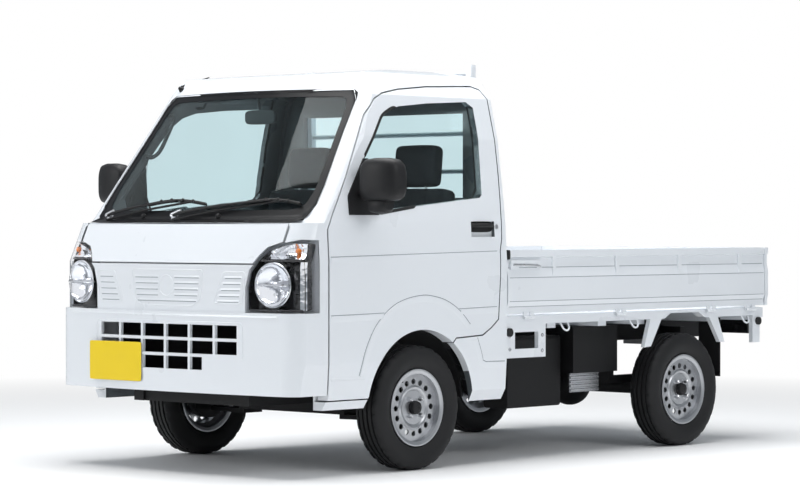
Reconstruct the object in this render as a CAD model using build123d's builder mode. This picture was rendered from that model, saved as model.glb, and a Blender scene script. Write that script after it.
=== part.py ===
from build123d import *
from math import asin, atan2, cos, degrees, radians, sin
import os

os.makedirs("parts", exist_ok=True)

# Overall sizes of the truck
OVERALL_LENGTH = 3395.0
OVERALL_WIDTH = 1475.0
CAB_HEIGHT = 1765.0
WHEELBASE = 1905.0
FRONT_TRACK = 1305.0
REAR_TRACK = 1290.0
FRONT_AXLE_SETBACK = 822.0
PLATE_PROUD = 5.0
HALF_WIDTH = OVERALL_WIDTH / 2
FRONT_Y = PLATE_PROUD - OVERALL_LENGTH / 2
REAR_AXLE_SETBACK = FRONT_AXLE_SETBACK + WHEELBASE

# Gaps and overruns
PANEL_GAP = 6.0
FIT_GAP = 0.5
MOVING_GAP = 8.0
OVERRUN = 60.0

# Tyre and rim
TYRE_RADIUS = 270.0
TYRE_WIDTH = 145.0
TYRE_TREAD_WIDTH = 112.0
TYRE_SHOULDER = 22.0
BEAD_RADIUS = 156.0
BEAD_WIDTH = 104.0
RIM_LIP_RADIUS = 167.0
RIM_LIP_WIDTH = 118.0
RIM_SKIN = 6.0
RIM_WELL_RADIUS = 134.0
DISC_RADIUS = 148.0
DISC_THICKNESS = 7.0
DISC_OFFSET = 26.0
DISC_CROWN_RADIUS = 86.0
DISC_CROWN_PROUD = 12.0
HUB_FACE_RADIUS = 62.0
HUB_BORE_RADIUS = 30.0
VENT_COUNT = 16
VENT_CIRCLE_RADIUS = 112.0
VENT_RADIUS = 12.5
STUD_COUNT = 4
STUD_CIRCLE_RADIUS = 50.0
STUD_HOLE_RADIUS = 6.5

# Cab
CAB_REAR = 1385.0
CAB_BOTTOM = 283.0
BELT_HEIGHT = 1070.0
NOSE_TOP = 1067.0
NOSE_SETBACK = 8.0
NOSE_SLOPE_START = 897.0
NOSE_SLOPE_BACK = 79.0
NOSE_ARC_SAG = 48.0
NOSE_CORNER = 115.0
BUMPER_CORNER = 80.0
BUMPER_TOP = 692.0
SCREEN_BASE = 102.0
SCREEN_RISE = 713.0
SCREEN_RUN = 517.0
SCREEN_BASE_SAG = 115.0
SCREEN_TOP_SAG = 94.0
SCREEN_BASE_HALF = 745.0
SCREEN_TOP_HALF = 627.0
SCREEN_CORNER = 82.0
ROOF_CROWN = 43.0
ROOF_EDGE_RADIUS = 60.0
DOOR_THICKNESS = 60.0
DOOR_FRAME_THICKNESS = 34.0
CAB_WALL = 80.0
CAB_FRAME = 52.0
ROOF_DEPTH = 34.0
REAR_WALL = 30.0
SCREEN_SURROUND = 42.0
FIREWALL = 130.0
FIREWALL_THICKNESS = 16.0
FLOOR_HEIGHT = 400.0
FLOOR_THICKNESS = 18.0
SEAT_BOX_HEIGHT = 640.0
SEAT_BOX_FRONT = 470.0
ROCKER_INSET = 88.0
SKIN = 24.0
ARCH_RADIUS = 337.0
ARCH_SHIFT = 8.0
ARCH_INNER = 405.0

# Cab side section as shares of half width and cab height
CAB_SIDE_SHARES = [
    (0.950, 0.160),
    (0.987, 0.187),
    (0.9995, 0.272),
    (1.000, 0.513),
    (0.987, 0.606),
    (0.972, 0.663),
    (0.925, 0.814),
    (0.866, 0.917),
    (0.770, 0.972),
]
SIDE_SOFTEN = 60.0

# Roof line as shares of cab length and cab height
ROOF_SHARES = [
    (0.200, 0.935),
    (0.400, 0.9605),
    (0.470, 0.9740),
    (0.630, 0.9845),
    (0.780, 0.9930),
    (0.900, 1.0000),
    (0.965, 0.9990),
    (1.000, 0.9920),
]

# Door outline as shares of its length and height
DOOR_START = 250.0
DOOR_LENGTH = 1112.0
DOOR_BASE = 325.0
DOOR_HEIGHT = 1347.0
DOOR_SHARES = [
    (0.000, 0.000),
    (0.000, 0.531),
    (0.025, 0.569),
    (0.271, 0.892),
    (0.334, 0.944),
    (0.387, 0.963),
    (0.489, 0.978),
    (0.662, 0.991),
    (0.940, 1.000),
    (0.983, 0.990),
    (0.998, 0.961),
    (1.000, 0.710),
    (0.991, 0.500),
    (0.979, 0.459),
    (0.979, 0.375),
    (0.967, 0.235),
    (0.924, 0.209),
    (0.873, 0.186),
    (0.714, 0.180),
    (0.690, 0.160),
    (0.690, 0.000),
]
DOOR_FLANGE = 24.0
WINDOW_START = 388.0
WINDOW_LENGTH = 867.0
WINDOW_BASE = 1100.0
WINDOW_HEIGHT = 502.0
WINDOW_SHARES = [
    (0.010, 0.000),
    (0.965, 0.155),
    (0.983, 0.183),
    (1.000, 0.753),
    (1.000, 0.952),
    (0.952, 1.000),
    (0.648, 0.972),
    (0.435, 0.936),
    (0.346, 0.888),
    (0.283, 0.807),
    (0.211, 0.649),
    (0.133, 0.480),
    (0.000, 0.160),
]
GLASS_THICKNESS = 5.0
GLASS_INSET = 5.0
MIRROR_SAIL_BACK = 528.0

# Windscreen outline as shares of its half width and height
SCREEN_LOW = 1078.0
SCREEN_HEIGHT = 560.0
SCREEN_HALF = 661.0
SCREEN_SHARES = [
    (0.965, 0.000),
    (1.000, 0.120),
    (0.988, 0.268),
    (0.956, 0.470),
    (0.924, 0.675),
    (0.895, 0.920),
    (0.840, 1.000),
]

# Nose panels in front view as shares of half width and cab height
LAMP_SHARES = [
    (0.630, 0.3921),
    (0.632, 0.4520),
    (0.660, 0.4920),
    (0.692, 0.5070),
    (0.722, 0.5275),
    (0.758, 0.5435),
    (0.856, 0.5565),
    (0.950, 0.5655),
    (1.050, 0.5620),
    (1.050, 0.3921),
]
LAMP_BACK = 190.0
LAMP_LENS = 5.0
LAMP_DEPTH = 70.0
GRILLE_SHARES = [
    (0.6265, 0.3921),
    (0.6285, 0.4520),
    (0.6565, 0.4930),
    (0.6850, 0.5055),
]
BONNET_SHARES = [
    (0.6800, 0.5090),
    (0.7130, 0.5300),
    (0.7500, 0.5470),
    (0.8480, 0.5600),
    (0.8480, 0.6020),
]
NOSE_SKIN = 14.0

# Bumper
BUMPER_BOTTOM = 348.0
BUMPER_BACK = 241.5
BUMPER_SKIN = 14.0
BUMPER_SHELF = 18.0
BUMPER_SLANT_HEIGHT = 94.0
INTAKE_HALF = 430.0
INTAKE_TOP = 637.0
INTAKE_ROWS = 3
INTAKE_PITCH = 68.0
INTAKE_BAR = 13.0
INTAKE_COLUMN_PITCH = 147.0
INTAKE_LOW_HALF = 231.0
PLATE_WIDTH = 330.0
PLATE_HEIGHT = 165.0
PLATE_CENTRE_X = -311.0
PLATE_CENTRE_Z = 469.5
PLATE_THICKNESS = 2.0

# Load bed
BED_FRONT = 1394.0
BED_FLOOR = 650.0
DECK_THICKNESS = 12.0
DECK_HALF = 712.0
LOAD_PANEL = 2.0
SILL_DEPTH = 40.0
SILL_WIDTH = 46.0
SILL_NOTCH_RISE = 26.0
SILL_NOTCH_HALF = 110.0
SILL_NOTCH_RAMP = 50.0
CROSS_BEAM_WIDTH = 60.0
CROSS_BEAM_DEPTH = 62.0
CROSS_BEAM_STATIONS = [1460.0, 1780.0, 2150.0, 2440.0, 3010.0, 3290.0]
GATE_THICKNESS = 26.0
GATE_FACE = 731.0
GATE_BOTTOM = 661.0
GATE_TOP = 946.0
GATE_RAIL = 31.0
GATE_RECESS = 10.0
GATE_RECESS_HEIGHT = 45.0
GATE_SLANT_HEIGHT = 45.0
GATE_FACE_HEIGHT = 110.0
GATE_STEP_HEIGHT = 25.0
GATE_STEP = 7.0
GATE_RIB_STATIONS = [1725.0, 2185.0, 2663.0, 3149.0]
GATE_RIB_WIDTH = 24.0
HINGE_RADIUS = 7.5
HINGE_HEIGHT = 643.0
HINGE_STATIONS = [1545.0, 2210.0, 2915.0, 3240.0]
HINGE_SPREAD = 46.0
HINGE_LEAF = 26.0
HINGE_LEAF_THICKNESS = 6.0
HINGE_PIN_RADIUS = 3.5
LATCH_START = 1417.0
LATCH_LENGTH = 210.0
LATCH_HEIGHT = 42.0
LATCH_CENTRE_Z = 880.0
LATCH_PROUD = 14.0
STOP_RADIUS = 19.0
STOP_PROUD = 12.0
BULKHEAD_THICKNESS = 30.0
GUARD_POST_X = 501.0
GUARD_TUBE = 32.0
GUARD_TIP = 1779.0
GUARD_BAR_HEIGHTS = [1130.0, 1300.0, 1470.0]
GUARD_TOP_BAR = 1742.0

# Door and bonnet hinges
DOOR_AXIS_X = 726.0
DOOR_AXIS_SETBACK = 268.0
DOOR_FRONT_EXTRA = 2.5
DOOR_HINGE_HEIGHTS = [520.0, 880.0]
DOOR_PIN_RADIUS = 3.0
DOOR_PIN_HALF = 24.0
DOOR_LUG_HALF = 5.0
DOOR_LUG_BASE = 30.0
DOOR_POCKET_HALF = 12.0
DOOR_POCKET_BACK = 30.0
DOOR_POCKET_OUTER = 733.5
PIN_GAP = 0.3
BONNET_AXIS_SETBACK = 106.0
BONNET_AXIS_Z = 1054.0
BONNET_BACK = 122.0
BONNET_LUG_X = 200.0
BONNET_LUG_HALF = 10.0
BONNET_PIN_RADIUS = 3.0
BONNET_PIN_LENGTH = 24.0

# Running gear
RAIL_X = 330.0
RAIL_WIDTH = 60.0
RAIL_HEIGHT = 90.0
RAIL_TOP = 588.0
RAIL_FRONT_TOP = 380.0
KINGPIN_X = 550.0
STRUT_RADIUS = 22.0
STRUT_TOP = 590.0
AXLE_TUBE_RADIUS = 32.0
DIFF_RADIUS = 105.0
SPRING_X = 455.0
SPRING_WIDTH = 60.0
DRUM_RADIUS = 100.0
DRUM_DEPTH = 50.0


def along(setback):
    # setback is measured back from the face of the front bumper
    return FRONT_Y + setback


def shares_to_side(rows, start, length, base, height):
    return [(along(start + a * length), base + b * height) for a, b in rows]


def block(x_low, x_high, s_low, s_high, z_low, z_high, mode=Mode.ADD):
    centre = ((x_low + x_high) / 2, along((s_low + s_high) / 2), (z_low + z_high) / 2)
    with Locations(centre):
        Box(x_high - x_low, s_high - s_low, z_high - z_low, mode=mode)


def side_prism(points, x_low, x_high, mode=Mode.ADD, grow=0.0, soften=0.0):
    with BuildSketch(Plane.YZ.offset(x_low)) as outline:
        with BuildLine():
            Polyline(*points, close=True)
        make_face()
        if soften:
            fillet(outline.vertices(), radius=soften)
        if grow:
            offset(amount=grow, kind=Kind.INTERSECTION)
    extrude(outline.sketch, amount=x_high - x_low, mode=mode)


def front_prism(points, s_low, s_high, mode=Mode.ADD, grow=0.0):
    with BuildSketch(Plane.XZ.offset(-along(s_low))) as outline:
        with BuildLine():
            Polyline(*points, close=True)
        make_face()
        if grow:
            offset(amount=grow, kind=Kind.INTERSECTION)
    extrude(outline.sketch, amount=s_low - s_high, mode=mode)


def bar(start, end, radius, mode=Mode.ADD):
    # a round bar between two points given as width, setback and height
    first = Vector(start[0], along(start[1]), start[2])
    last = Vector(end[0], along(end[1]), end[2])
    axis = last - first
    with Locations(Plane(origin=first, z_dir=axis)):
        Cylinder(radius, axis.length, align=(Align.CENTER, Align.CENTER, Align.MIN), mode=mode)


def mirrored_points(rows, half, height):
    right = [(a * half, b * height) for a, b in rows]
    left = [(-x, z) for x, z in reversed(right)]
    return right + left


def plan_section(height, setback, sag, half, corner, back):
    # one level cut through the cab, with a bowed front and round corners
    with BuildSketch(Plane.XY.offset(height)) as plan:
        with BuildLine():
            bow = ThreePointArc(
                (-half, along(setback + sag)),
                (0, along(setback)),
                (half, along(setback + sag)),
            )
            Polyline(bow @ 1, (half, along(back)), (-half, along(back)), bow @ 0)
        make_face()
        fillet(plan.vertices().sort_by(Axis.Y)[0:2], radius=corner)
    return plan.sketch


def side_section(low_inset, high_inset):
    # cab section across the truck, drawn in by one inset below the belt and another above it
    points = []
    for width_share, height_share in CAB_SIDE_SHARES:
        height = height_share * CAB_HEIGHT
        inset = low_inset if height < BELT_HEIGHT else high_inset
        points.append((width_share * HALF_WIDTH - inset, height))
    return points


def cab_envelope(nose, screen, side_low, side_high, roof, rear):
    # the solid inside the cab skin, each face drawn in by its own amount
    back = CAB_REAR - rear
    half = HALF_WIDTH - side_low
    wide = HALF_WIDTH + OVERRUN
    section = side_section(side_low, side_high)
    crown = CAB_HEIGHT - roof
    eave = section[-1][1] - roof
    with BuildPart() as envelope:
        face = plan_section(CAB_BOTTOM, nose, NOSE_ARC_SAG, half, BUMPER_CORNER, back)
        extrude(face, amount=BUMPER_TOP - CAB_BOTTOM)
        upper_nose = NOSE_SETBACK + nose
        face = plan_section(BUMPER_TOP, upper_nose, NOSE_ARC_SAG, half, NOSE_CORNER, back)
        extrude(face, amount=NOSE_SLOPE_START - BUMPER_TOP)
        slope = [
            plan_section(NOSE_SLOPE_START, upper_nose, NOSE_ARC_SAG, half, NOSE_CORNER, back),
            plan_section(NOSE_TOP, upper_nose + NOSE_SLOPE_BACK, NOSE_ARC_SAG, half, NOSE_CORNER, back),
        ]
        loft(slope, ruled=True)
        glass = [
            plan_section(NOSE_TOP, SCREEN_BASE + screen, SCREEN_BASE_SAG, SCREEN_BASE_HALF - side_high,
                         SCREEN_CORNER, back),
            plan_section(NOSE_TOP + SCREEN_RISE, SCREEN_BASE + screen + SCREEN_RUN, SCREEN_TOP_SAG,
                         SCREEN_TOP_HALF - side_high, SCREEN_CORNER, back),
        ]
        loft(glass, ruled=True)
    with BuildPart() as across:
        with BuildSketch(Plane.XZ.offset(-along(CAB_REAR + OVERRUN))) as cut:
            with BuildLine():
                flank = Polyline(*section[:-1], (section[-1][0], eave))
                ThreePointArc(flank @ 1, (0, crown), (-section[-1][0], eave))
                Polyline(*[(-x, z) for x, z in reversed(section[:-1] + [(section[-1][0], eave)])])
                Line((-section[0][0], section[0][1]), (section[0][0], section[0][1]))
            make_face()
        extrude(amount=CAB_REAR + OVERRUN + OVERRUN)
    with BuildPart() as lengthwise:
        profile = [(along(a * CAB_REAR), b * CAB_HEIGHT - roof) for a, b in ROOF_SHARES]
        profile = [(along(-OVERRUN), CAB_BOTTOM), (along(-OVERRUN), profile[0][1])] + profile
        profile = profile + [(along(CAB_REAR), CAB_BOTTOM)]
        side_prism(profile, -wide, wide)
    with BuildPart() as result:
        add(envelope.part)
        add(across.part, mode=Mode.INTERSECT)
        add(lengthwise.part, mode=Mode.INTERSECT)
    return result.part


cab_outer = cab_envelope(0, 0, 0, 0, 0, 0)
door_core = cab_envelope(0, 0, DOOR_THICKNESS, DOOR_FRAME_THICKNESS, 0, 0)
recess_core = cab_envelope(0, 0, DOOR_THICKNESS + PANEL_GAP, DOOR_FRAME_THICKNESS + PANEL_GAP, 0, 0)
cab_room = cab_envelope(FIREWALL + FIREWALL_THICKNESS, SCREEN_SURROUND, CAB_WALL, CAB_FRAME, ROOF_DEPTH, REAR_WALL)
glass_outer = cab_envelope(GLASS_INSET, GLASS_INSET, GLASS_INSET, GLASS_INSET, 0, 0)
glass_inner_inset = GLASS_INSET + GLASS_THICKNESS
glass_inner = cab_envelope(
    glass_inner_inset, glass_inner_inset, glass_inner_inset, glass_inner_inset, 0, 0
)
nose_inner = cab_envelope(NOSE_SKIN, NOSE_SKIN, NOSE_SKIN, NOSE_SKIN, 0, 0)
lamp_core = cab_envelope(LAMP_DEPTH, LAMP_DEPTH, DOOR_THICKNESS, DOOR_THICKNESS, 0, 0)

door_points = shares_to_side(DOOR_SHARES, DOOR_START, DOOR_LENGTH, DOOR_BASE, DOOR_HEIGHT)
window_points = shares_to_side(WINDOW_SHARES, WINDOW_START, WINDOW_LENGTH, WINDOW_BASE, WINDOW_HEIGHT)
screen_points = mirrored_points(SCREEN_SHARES, SCREEN_HALF, SCREEN_HEIGHT)
screen_points = [(x, SCREEN_LOW + z) for x, z in screen_points]
lamp_points = [(a * HALF_WIDTH, b * CAB_HEIGHT) for a, b in LAMP_SHARES]
grille_points = mirrored_points(GRILLE_SHARES, HALF_WIDTH, CAB_HEIGHT)
bonnet_points = mirrored_points(BONNET_SHARES, HALF_WIDTH, CAB_HEIGHT)


# Cab shell
ROOM_CLEAR = 640.0
REAR_WINDOW_HALF = 500.0
REAR_WINDOW_LOW = 1180.0
REAR_WINDOW_TOP = 1560.0
UNDER_HALF = 700.0
CAB_PAD_HEIGHT = 34.0

with BuildPart() as room:
    add(cab_room)
    block(-HALF_WIDTH, HALF_WIDTH, -OVERRUN, CAB_REAR, CAB_BOTTOM - OVERRUN, FLOOR_HEIGHT, Mode.SUBTRACT)
    block(-HALF_WIDTH, HALF_WIDTH, SEAT_BOX_FRONT, CAB_REAR, CAB_BOTTOM - OVERRUN, SEAT_BOX_HEIGHT, Mode.SUBTRACT)

with BuildPart() as wheel_arches:
    with BuildSketch(Plane.YZ.offset(ARCH_INNER)):
        with Locations((along(FRONT_AXLE_SETBACK + ARCH_SHIFT), TYRE_RADIUS)):
            Circle(ARCH_RADIUS)
    extrude(amount=HALF_WIDTH + OVERRUN - ARCH_INNER)
    mirror(about=Plane.YZ)

with BuildPart() as door_recess:
    side_prism(door_points, 0, HALF_WIDTH + OVERRUN, grow=PANEL_GAP)
    block(0, HALF_WIDTH + OVERRUN, DOOR_START - PANEL_GAP - DOOR_FRONT_EXTRA, DOOR_START, DOOR_BASE - PANEL_GAP,
          DOOR_BASE + DOOR_SHARES[1][1] * DOOR_HEIGHT)
    add(recess_core, mode=Mode.SUBTRACT)
    mirror(about=Plane.YZ)

with BuildPart() as door_opening:
    side_prism(door_points, CAB_WALL, HALF_WIDTH + OVERRUN, grow=-DOOR_FLANGE)
    block(0, HALF_WIDTH, -OVERRUN, CAB_REAR, CAB_BOTTOM, FLOOR_HEIGHT + FIT_GAP, Mode.SUBTRACT)
    block(0, HALF_WIDTH, SEAT_BOX_FRONT - FIT_GAP, CAB_REAR, CAB_BOTTOM, SEAT_BOX_HEIGHT + FIT_GAP, Mode.SUBTRACT)
    mirror(about=Plane.YZ)

with BuildPart() as screen_opening:
    front_prism(screen_points, -OVERRUN, CAB_REAR / 2)

with BuildPart() as lamp_zone:
    front_prism(lamp_points, -OVERRUN, LAMP_BACK)
    block(0, ROOM_CLEAR, FIREWALL, CAB_REAR, CAB_BOTTOM, CAB_HEIGHT, Mode.SUBTRACT)
    mirror(about=Plane.YZ)

with BuildPart() as cab_shell:
    add(cab_outer)
    add(room.part, mode=Mode.SUBTRACT)
    block(-UNDER_HALF, UNDER_HALF, SEAT_BOX_FRONT + FLOOR_THICKNESS, CAB_REAR + OVERRUN, CAB_BOTTOM - OVERRUN,
          SEAT_BOX_HEIGHT - FLOOR_THICKNESS, Mode.SUBTRACT)
    block(ROCKER_INSET - HALF_WIDTH, HALF_WIDTH - ROCKER_INSET, -OVERRUN, SEAT_BOX_FRONT + OVERRUN,
          CAB_BOTTOM - OVERRUN, FLOOR_HEIGHT - FLOOR_THICKNESS, Mode.SUBTRACT)
    block(-ROOM_CLEAR, ROOM_CLEAR, -OVERRUN, FIREWALL, CAB_BOTTOM - OVERRUN, NOSE_TOP - NOSE_SKIN, Mode.SUBTRACT)
    block(-HALF_WIDTH - OVERRUN, -ROOM_CLEAR, -OVERRUN, BUMPER_BACK, CAB_BOTTOM - OVERRUN, BUMPER_TOP, Mode.SUBTRACT)
    block(ROOM_CLEAR, HALF_WIDTH + OVERRUN, -OVERRUN, BUMPER_BACK, CAB_BOTTOM - OVERRUN, BUMPER_TOP, Mode.SUBTRACT)
    add(wheel_arches.part, mode=Mode.SUBTRACT)
    add(door_recess.part, mode=Mode.SUBTRACT)
    add(door_opening.part, mode=Mode.SUBTRACT)
    add(screen_opening.part, mode=Mode.SUBTRACT)
    add(lamp_zone.part, mode=Mode.SUBTRACT)
    front_prism(bonnet_points, -OVERRUN, FIREWALL, Mode.SUBTRACT, grow=PANEL_GAP)
    front_prism(grille_points, -OVERRUN, FIREWALL, Mode.SUBTRACT)
    block(-REAR_WINDOW_HALF, REAR_WINDOW_HALF, CAB_REAR - OVERRUN, CAB_REAR + OVERRUN, REAR_WINDOW_LOW,
          REAR_WINDOW_TOP, Mode.SUBTRACT)
    for side in (-1, 1):
        for height in DOOR_HINGE_HEIGHTS:
            lug = sorted([side * (HALF_WIDTH - CAB_WALL), side * (DOOR_AXIS_X + DOOR_LUG_HALF)])
            foot = sorted([side * (HALF_WIDTH - CAB_WALL), side * (HALF_WIDTH - DOOR_THICKNESS - PANEL_GAP)])
            block(lug[0], lug[1], DOOR_AXIS_SETBACK - DOOR_LUG_HALF, DOOR_AXIS_SETBACK + DOOR_LUG_HALF,
                  height - DOOR_LUG_HALF, height + DOOR_LUG_HALF)
            block(foot[0], foot[1], DOOR_AXIS_SETBACK - DOOR_LUG_BASE, DOOR_AXIS_SETBACK + DOOR_LUG_BASE,
                  height - DOOR_LUG_BASE, height + DOOR_LUG_BASE)
            bar((side * DOOR_AXIS_X, DOOR_AXIS_SETBACK, height - DOOR_PIN_HALF),
                (side * DOOR_AXIS_X, DOOR_AXIS_SETBACK, height + DOOR_PIN_HALF), DOOR_PIN_RADIUS)
        lug = sorted([side * (BONNET_LUG_X + BONNET_LUG_HALF + FIT_GAP), side * (BONNET_LUG_X + 2 * BONNET_LUG_HALF)])
        block(lug[0], lug[1], BONNET_AXIS_SETBACK - BONNET_PIN_RADIUS, FIREWALL + FIT_GAP,
              BONNET_AXIS_Z - 1.5 * BONNET_PIN_RADIUS, BONNET_AXIS_Z + 1.5 * BONNET_PIN_RADIUS)
        bar((side * (BONNET_LUG_X + 2 * BONNET_LUG_HALF), BONNET_AXIS_SETBACK, BONNET_AXIS_Z),
            (side * (BONNET_LUG_X + 2 * BONNET_LUG_HALF - BONNET_PIN_LENGTH), BONNET_AXIS_SETBACK, BONNET_AXIS_Z),
            BONNET_PIN_RADIUS)
cab_main = cab_shell.part.solids().sort_by(SortBy.VOLUME)[-1]

# Nose pieces
with BuildPart() as nose_skin:
    add(cab_outer)
    add(nose_inner, mode=Mode.SUBTRACT)

with BuildPart() as grille_panel:
    front_prism(grille_points, -OVERRUN, FIREWALL)
    add(nose_skin.part, mode=Mode.INTERSECT)

with BuildPart() as bonnet:
    front_prism(bonnet_points, -OVERRUN, BONNET_BACK)
    add(nose_skin.part, mode=Mode.INTERSECT)
    for side in (-1, 1):
        block(side * BONNET_LUG_X - BONNET_LUG_HALF, side * BONNET_LUG_X + BONNET_LUG_HALF,
              BONNET_AXIS_SETBACK - 1.4 * BONNET_LUG_HALF, BONNET_AXIS_SETBACK + 0.7 * BONNET_LUG_HALF,
              BONNET_AXIS_Z - 0.7 * BONNET_LUG_HALF, BONNET_AXIS_Z + 0.7 * BONNET_LUG_HALF)
        bar((side * (BONNET_LUG_X - 2 * BONNET_LUG_HALF), BONNET_AXIS_SETBACK, BONNET_AXIS_Z),
            (side * (BONNET_LUG_X + 2 * BONNET_LUG_HALF), BONNET_AXIS_SETBACK, BONNET_AXIS_Z),
            BONNET_PIN_RADIUS + PIN_GAP, Mode.SUBTRACT)

with BuildPart() as bumper:
    block(-HALF_WIDTH, HALF_WIDTH, -OVERRUN, BUMPER_BACK, BUMPER_BOTTOM, BUMPER_TOP)
    add(nose_skin.part, mode=Mode.INTERSECT)
    for row in range(INTAKE_ROWS):
        high = INTAKE_TOP - row * INTAKE_PITCH
        low = high - INTAKE_PITCH + INTAKE_BAR
        reach = INTAKE_LOW_HALF if row == INTAKE_ROWS - 1 else INTAKE_HALF
        columns = [k * INTAKE_COLUMN_PITCH for k in range(-2, 3) if abs(k * INTAKE_COLUMN_PITCH) < reach]
        edges = [-reach] + columns + [reach]
        for left, right in zip(edges[:-1], edges[1:]):
            block(left + INTAKE_BAR / 2, right - INTAKE_BAR / 2, -OVERRUN, FIREWALL, low, high, Mode.SUBTRACT)

with BuildPart() as headlamp_lenses:
    front_prism(lamp_points, -OVERRUN, LAMP_BACK)
    add(cab_outer, mode=Mode.INTERSECT)
    add(glass_outer, mode=Mode.SUBTRACT)
    mirror(about=Plane.YZ)

with BuildPart() as headlamp_housings:
    front_prism(lamp_points, -OVERRUN, LAMP_BACK)
    add(glass_outer, mode=Mode.INTERSECT)
    add(lamp_core, mode=Mode.SUBTRACT)
    block(0, ROOM_CLEAR, FIREWALL, CAB_REAR, CAB_BOTTOM, CAB_HEIGHT, Mode.SUBTRACT)
    mirror(about=Plane.YZ)

# Glass
COWL_TOP = 1094.0
REAR_GLASS_SETBACK = 12.0
with BuildPart() as cab_glass:
    add(screen_opening.part)
    add(glass_outer, mode=Mode.INTERSECT)
    add(glass_inner, mode=Mode.SUBTRACT)
    block(-HALF_WIDTH, HALF_WIDTH, -OVERRUN, CAB_REAR / 2, 0, COWL_TOP, Mode.SUBTRACT)
    block(-REAR_WINDOW_HALF, REAR_WINDOW_HALF, CAB_REAR - REAR_GLASS_SETBACK - GLASS_THICKNESS,
          CAB_REAR - REAR_GLASS_SETBACK, REAR_WINDOW_LOW, REAR_WINDOW_TOP)


def screen_setback(x, z):
    rise = (z - NOSE_TOP) / SCREEN_RISE
    sag = SCREEN_BASE_SAG * (x / SCREEN_BASE_HALF) ** 2
    return SCREEN_BASE + rise * SCREEN_RUN + sag


# Cowl and wipers
WIPER_PIVOTS = [-545.0, -60.0]
WIPER_RADIUS = 5.0
WIPER_PROUD = 14.0
WIPER_REACH = 560.0
WIPER_ARM = 240.0
WIPER_RISE = 78.0
WIPER_LOW = 1082.0
with BuildPart() as cowl:
    add(screen_opening.part)
    add(cab_outer, mode=Mode.INTERSECT)
    add(nose_inner, mode=Mode.SUBTRACT)
    block(-HALF_WIDTH, HALF_WIDTH, -OVERRUN, CAB_REAR / 2, COWL_TOP, CAB_HEIGHT, Mode.SUBTRACT)
    for pivot in WIPER_PIVOTS:
        elbow = (pivot, screen_setback(pivot, WIPER_LOW) - WIPER_PROUD, WIPER_LOW)
        root = (pivot, screen_setback(pivot, WIPER_LOW) + WIPER_RADIUS, WIPER_LOW)
        tip_x = pivot + WIPER_REACH
        mid_x = pivot + WIPER_ARM
        mid_z = WIPER_LOW + WIPER_RISE / 2
        tip_z = WIPER_LOW + WIPER_RISE
        middle = (mid_x, screen_setback(mid_x, mid_z) - WIPER_PROUD, mid_z)
        tip = (tip_x, screen_setback(tip_x, tip_z) - WIPER_PROUD, tip_z)
        bar(root, elbow, 2 * WIPER_RADIUS)
        bar(elbow, middle, WIPER_RADIUS)
        bar(middle, tip, WIPER_RADIUS)
    add(cab_main, mode=Mode.SUBTRACT)

# Doors
HANDLE_START = 1152.0
HANDLE_END = 1308.0
HANDLE_LOW = 1034.0
HANDLE_TOP = 1074.0
POCKET_LOW = 1006.0
POCKET_DEPTH = 24.0
HANDLE_INNER = 719.0
HANDLE_OUTER = 739.0
MIRROR_X = 840.0
MIRROR_SETBACK = 492.0
MIRROR_Z = 1219.0
MIRROR_WIDTH = 190.0
MIRROR_DEPTH = 100.0
MIRROR_HEIGHT = 162.0
MIRROR_ROUND = 28.0
MIRROR_ARM_LOW = 1104.0
MIRROR_ARM_TOP = 1150.0
MIRROR_ARM_WIDTH = 44.0
SAIL_TOP = 1341.0
SAIL_THICKNESS = 20.0

with BuildPart() as door_shell:
    side_prism(door_points, CAB_WALL, HALF_WIDTH + OVERRUN)
    add(cab_outer, mode=Mode.INTERSECT)
    add(door_core, mode=Mode.SUBTRACT)
    add(wheel_arches.part, mode=Mode.SUBTRACT)
    side_prism(window_points, CAB_WALL, HALF_WIDTH + OVERRUN, Mode.SUBTRACT)
    block(HALF_WIDTH - POCKET_DEPTH, HALF_WIDTH + OVERRUN, HANDLE_START, HANDLE_END, POCKET_LOW, HANDLE_TOP,
          Mode.SUBTRACT)
    for height in DOOR_HINGE_HEIGHTS:
        block(CAB_WALL, DOOR_POCKET_OUTER, DOOR_START - OVERRUN, DOOR_START + DOOR_POCKET_BACK,
              height - DOOR_POCKET_HALF, height + DOOR_POCKET_HALF, Mode.SUBTRACT)
        bar((DOOR_AXIS_X, DOOR_AXIS_SETBACK, height - DOOR_PIN_HALF - FIT_GAP),
            (DOOR_AXIS_X, DOOR_AXIS_SETBACK, height + DOOR_PIN_HALF + FIT_GAP), DOOR_PIN_RADIUS + PIN_GAP,
            Mode.SUBTRACT)

with BuildPart() as door_glass:
    side_prism(window_points, CAB_WALL, HALF_WIDTH + OVERRUN)
    add(glass_outer, mode=Mode.INTERSECT)
    add(glass_inner, mode=Mode.SUBTRACT)
    block(0, HALF_WIDTH, 0, MIRROR_SAIL_BACK, WINDOW_BASE - OVERRUN, SAIL_TOP, Mode.SUBTRACT)

with BuildPart() as mirror_head:
    with Locations((MIRROR_X, along(MIRROR_SETBACK), MIRROR_Z)):
        Box(MIRROR_WIDTH, MIRROR_DEPTH, MIRROR_HEIGHT)
    fillet(mirror_head.edges(), radius=MIRROR_ROUND)

with BuildPart() as mirror_sail:
    side_prism(window_points, CAB_WALL, HALF_WIDTH + OVERRUN)
    add(cab_outer, mode=Mode.INTERSECT)
    add(nose_inner, mode=Mode.SUBTRACT)
    block(0, HALF_WIDTH, MIRROR_SAIL_BACK, CAB_REAR, WINDOW_BASE - OVERRUN, CAB_HEIGHT, Mode.SUBTRACT)
    block(0, HALF_WIDTH, 0, CAB_REAR, SAIL_TOP, CAB_HEIGHT, Mode.SUBTRACT)

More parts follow.
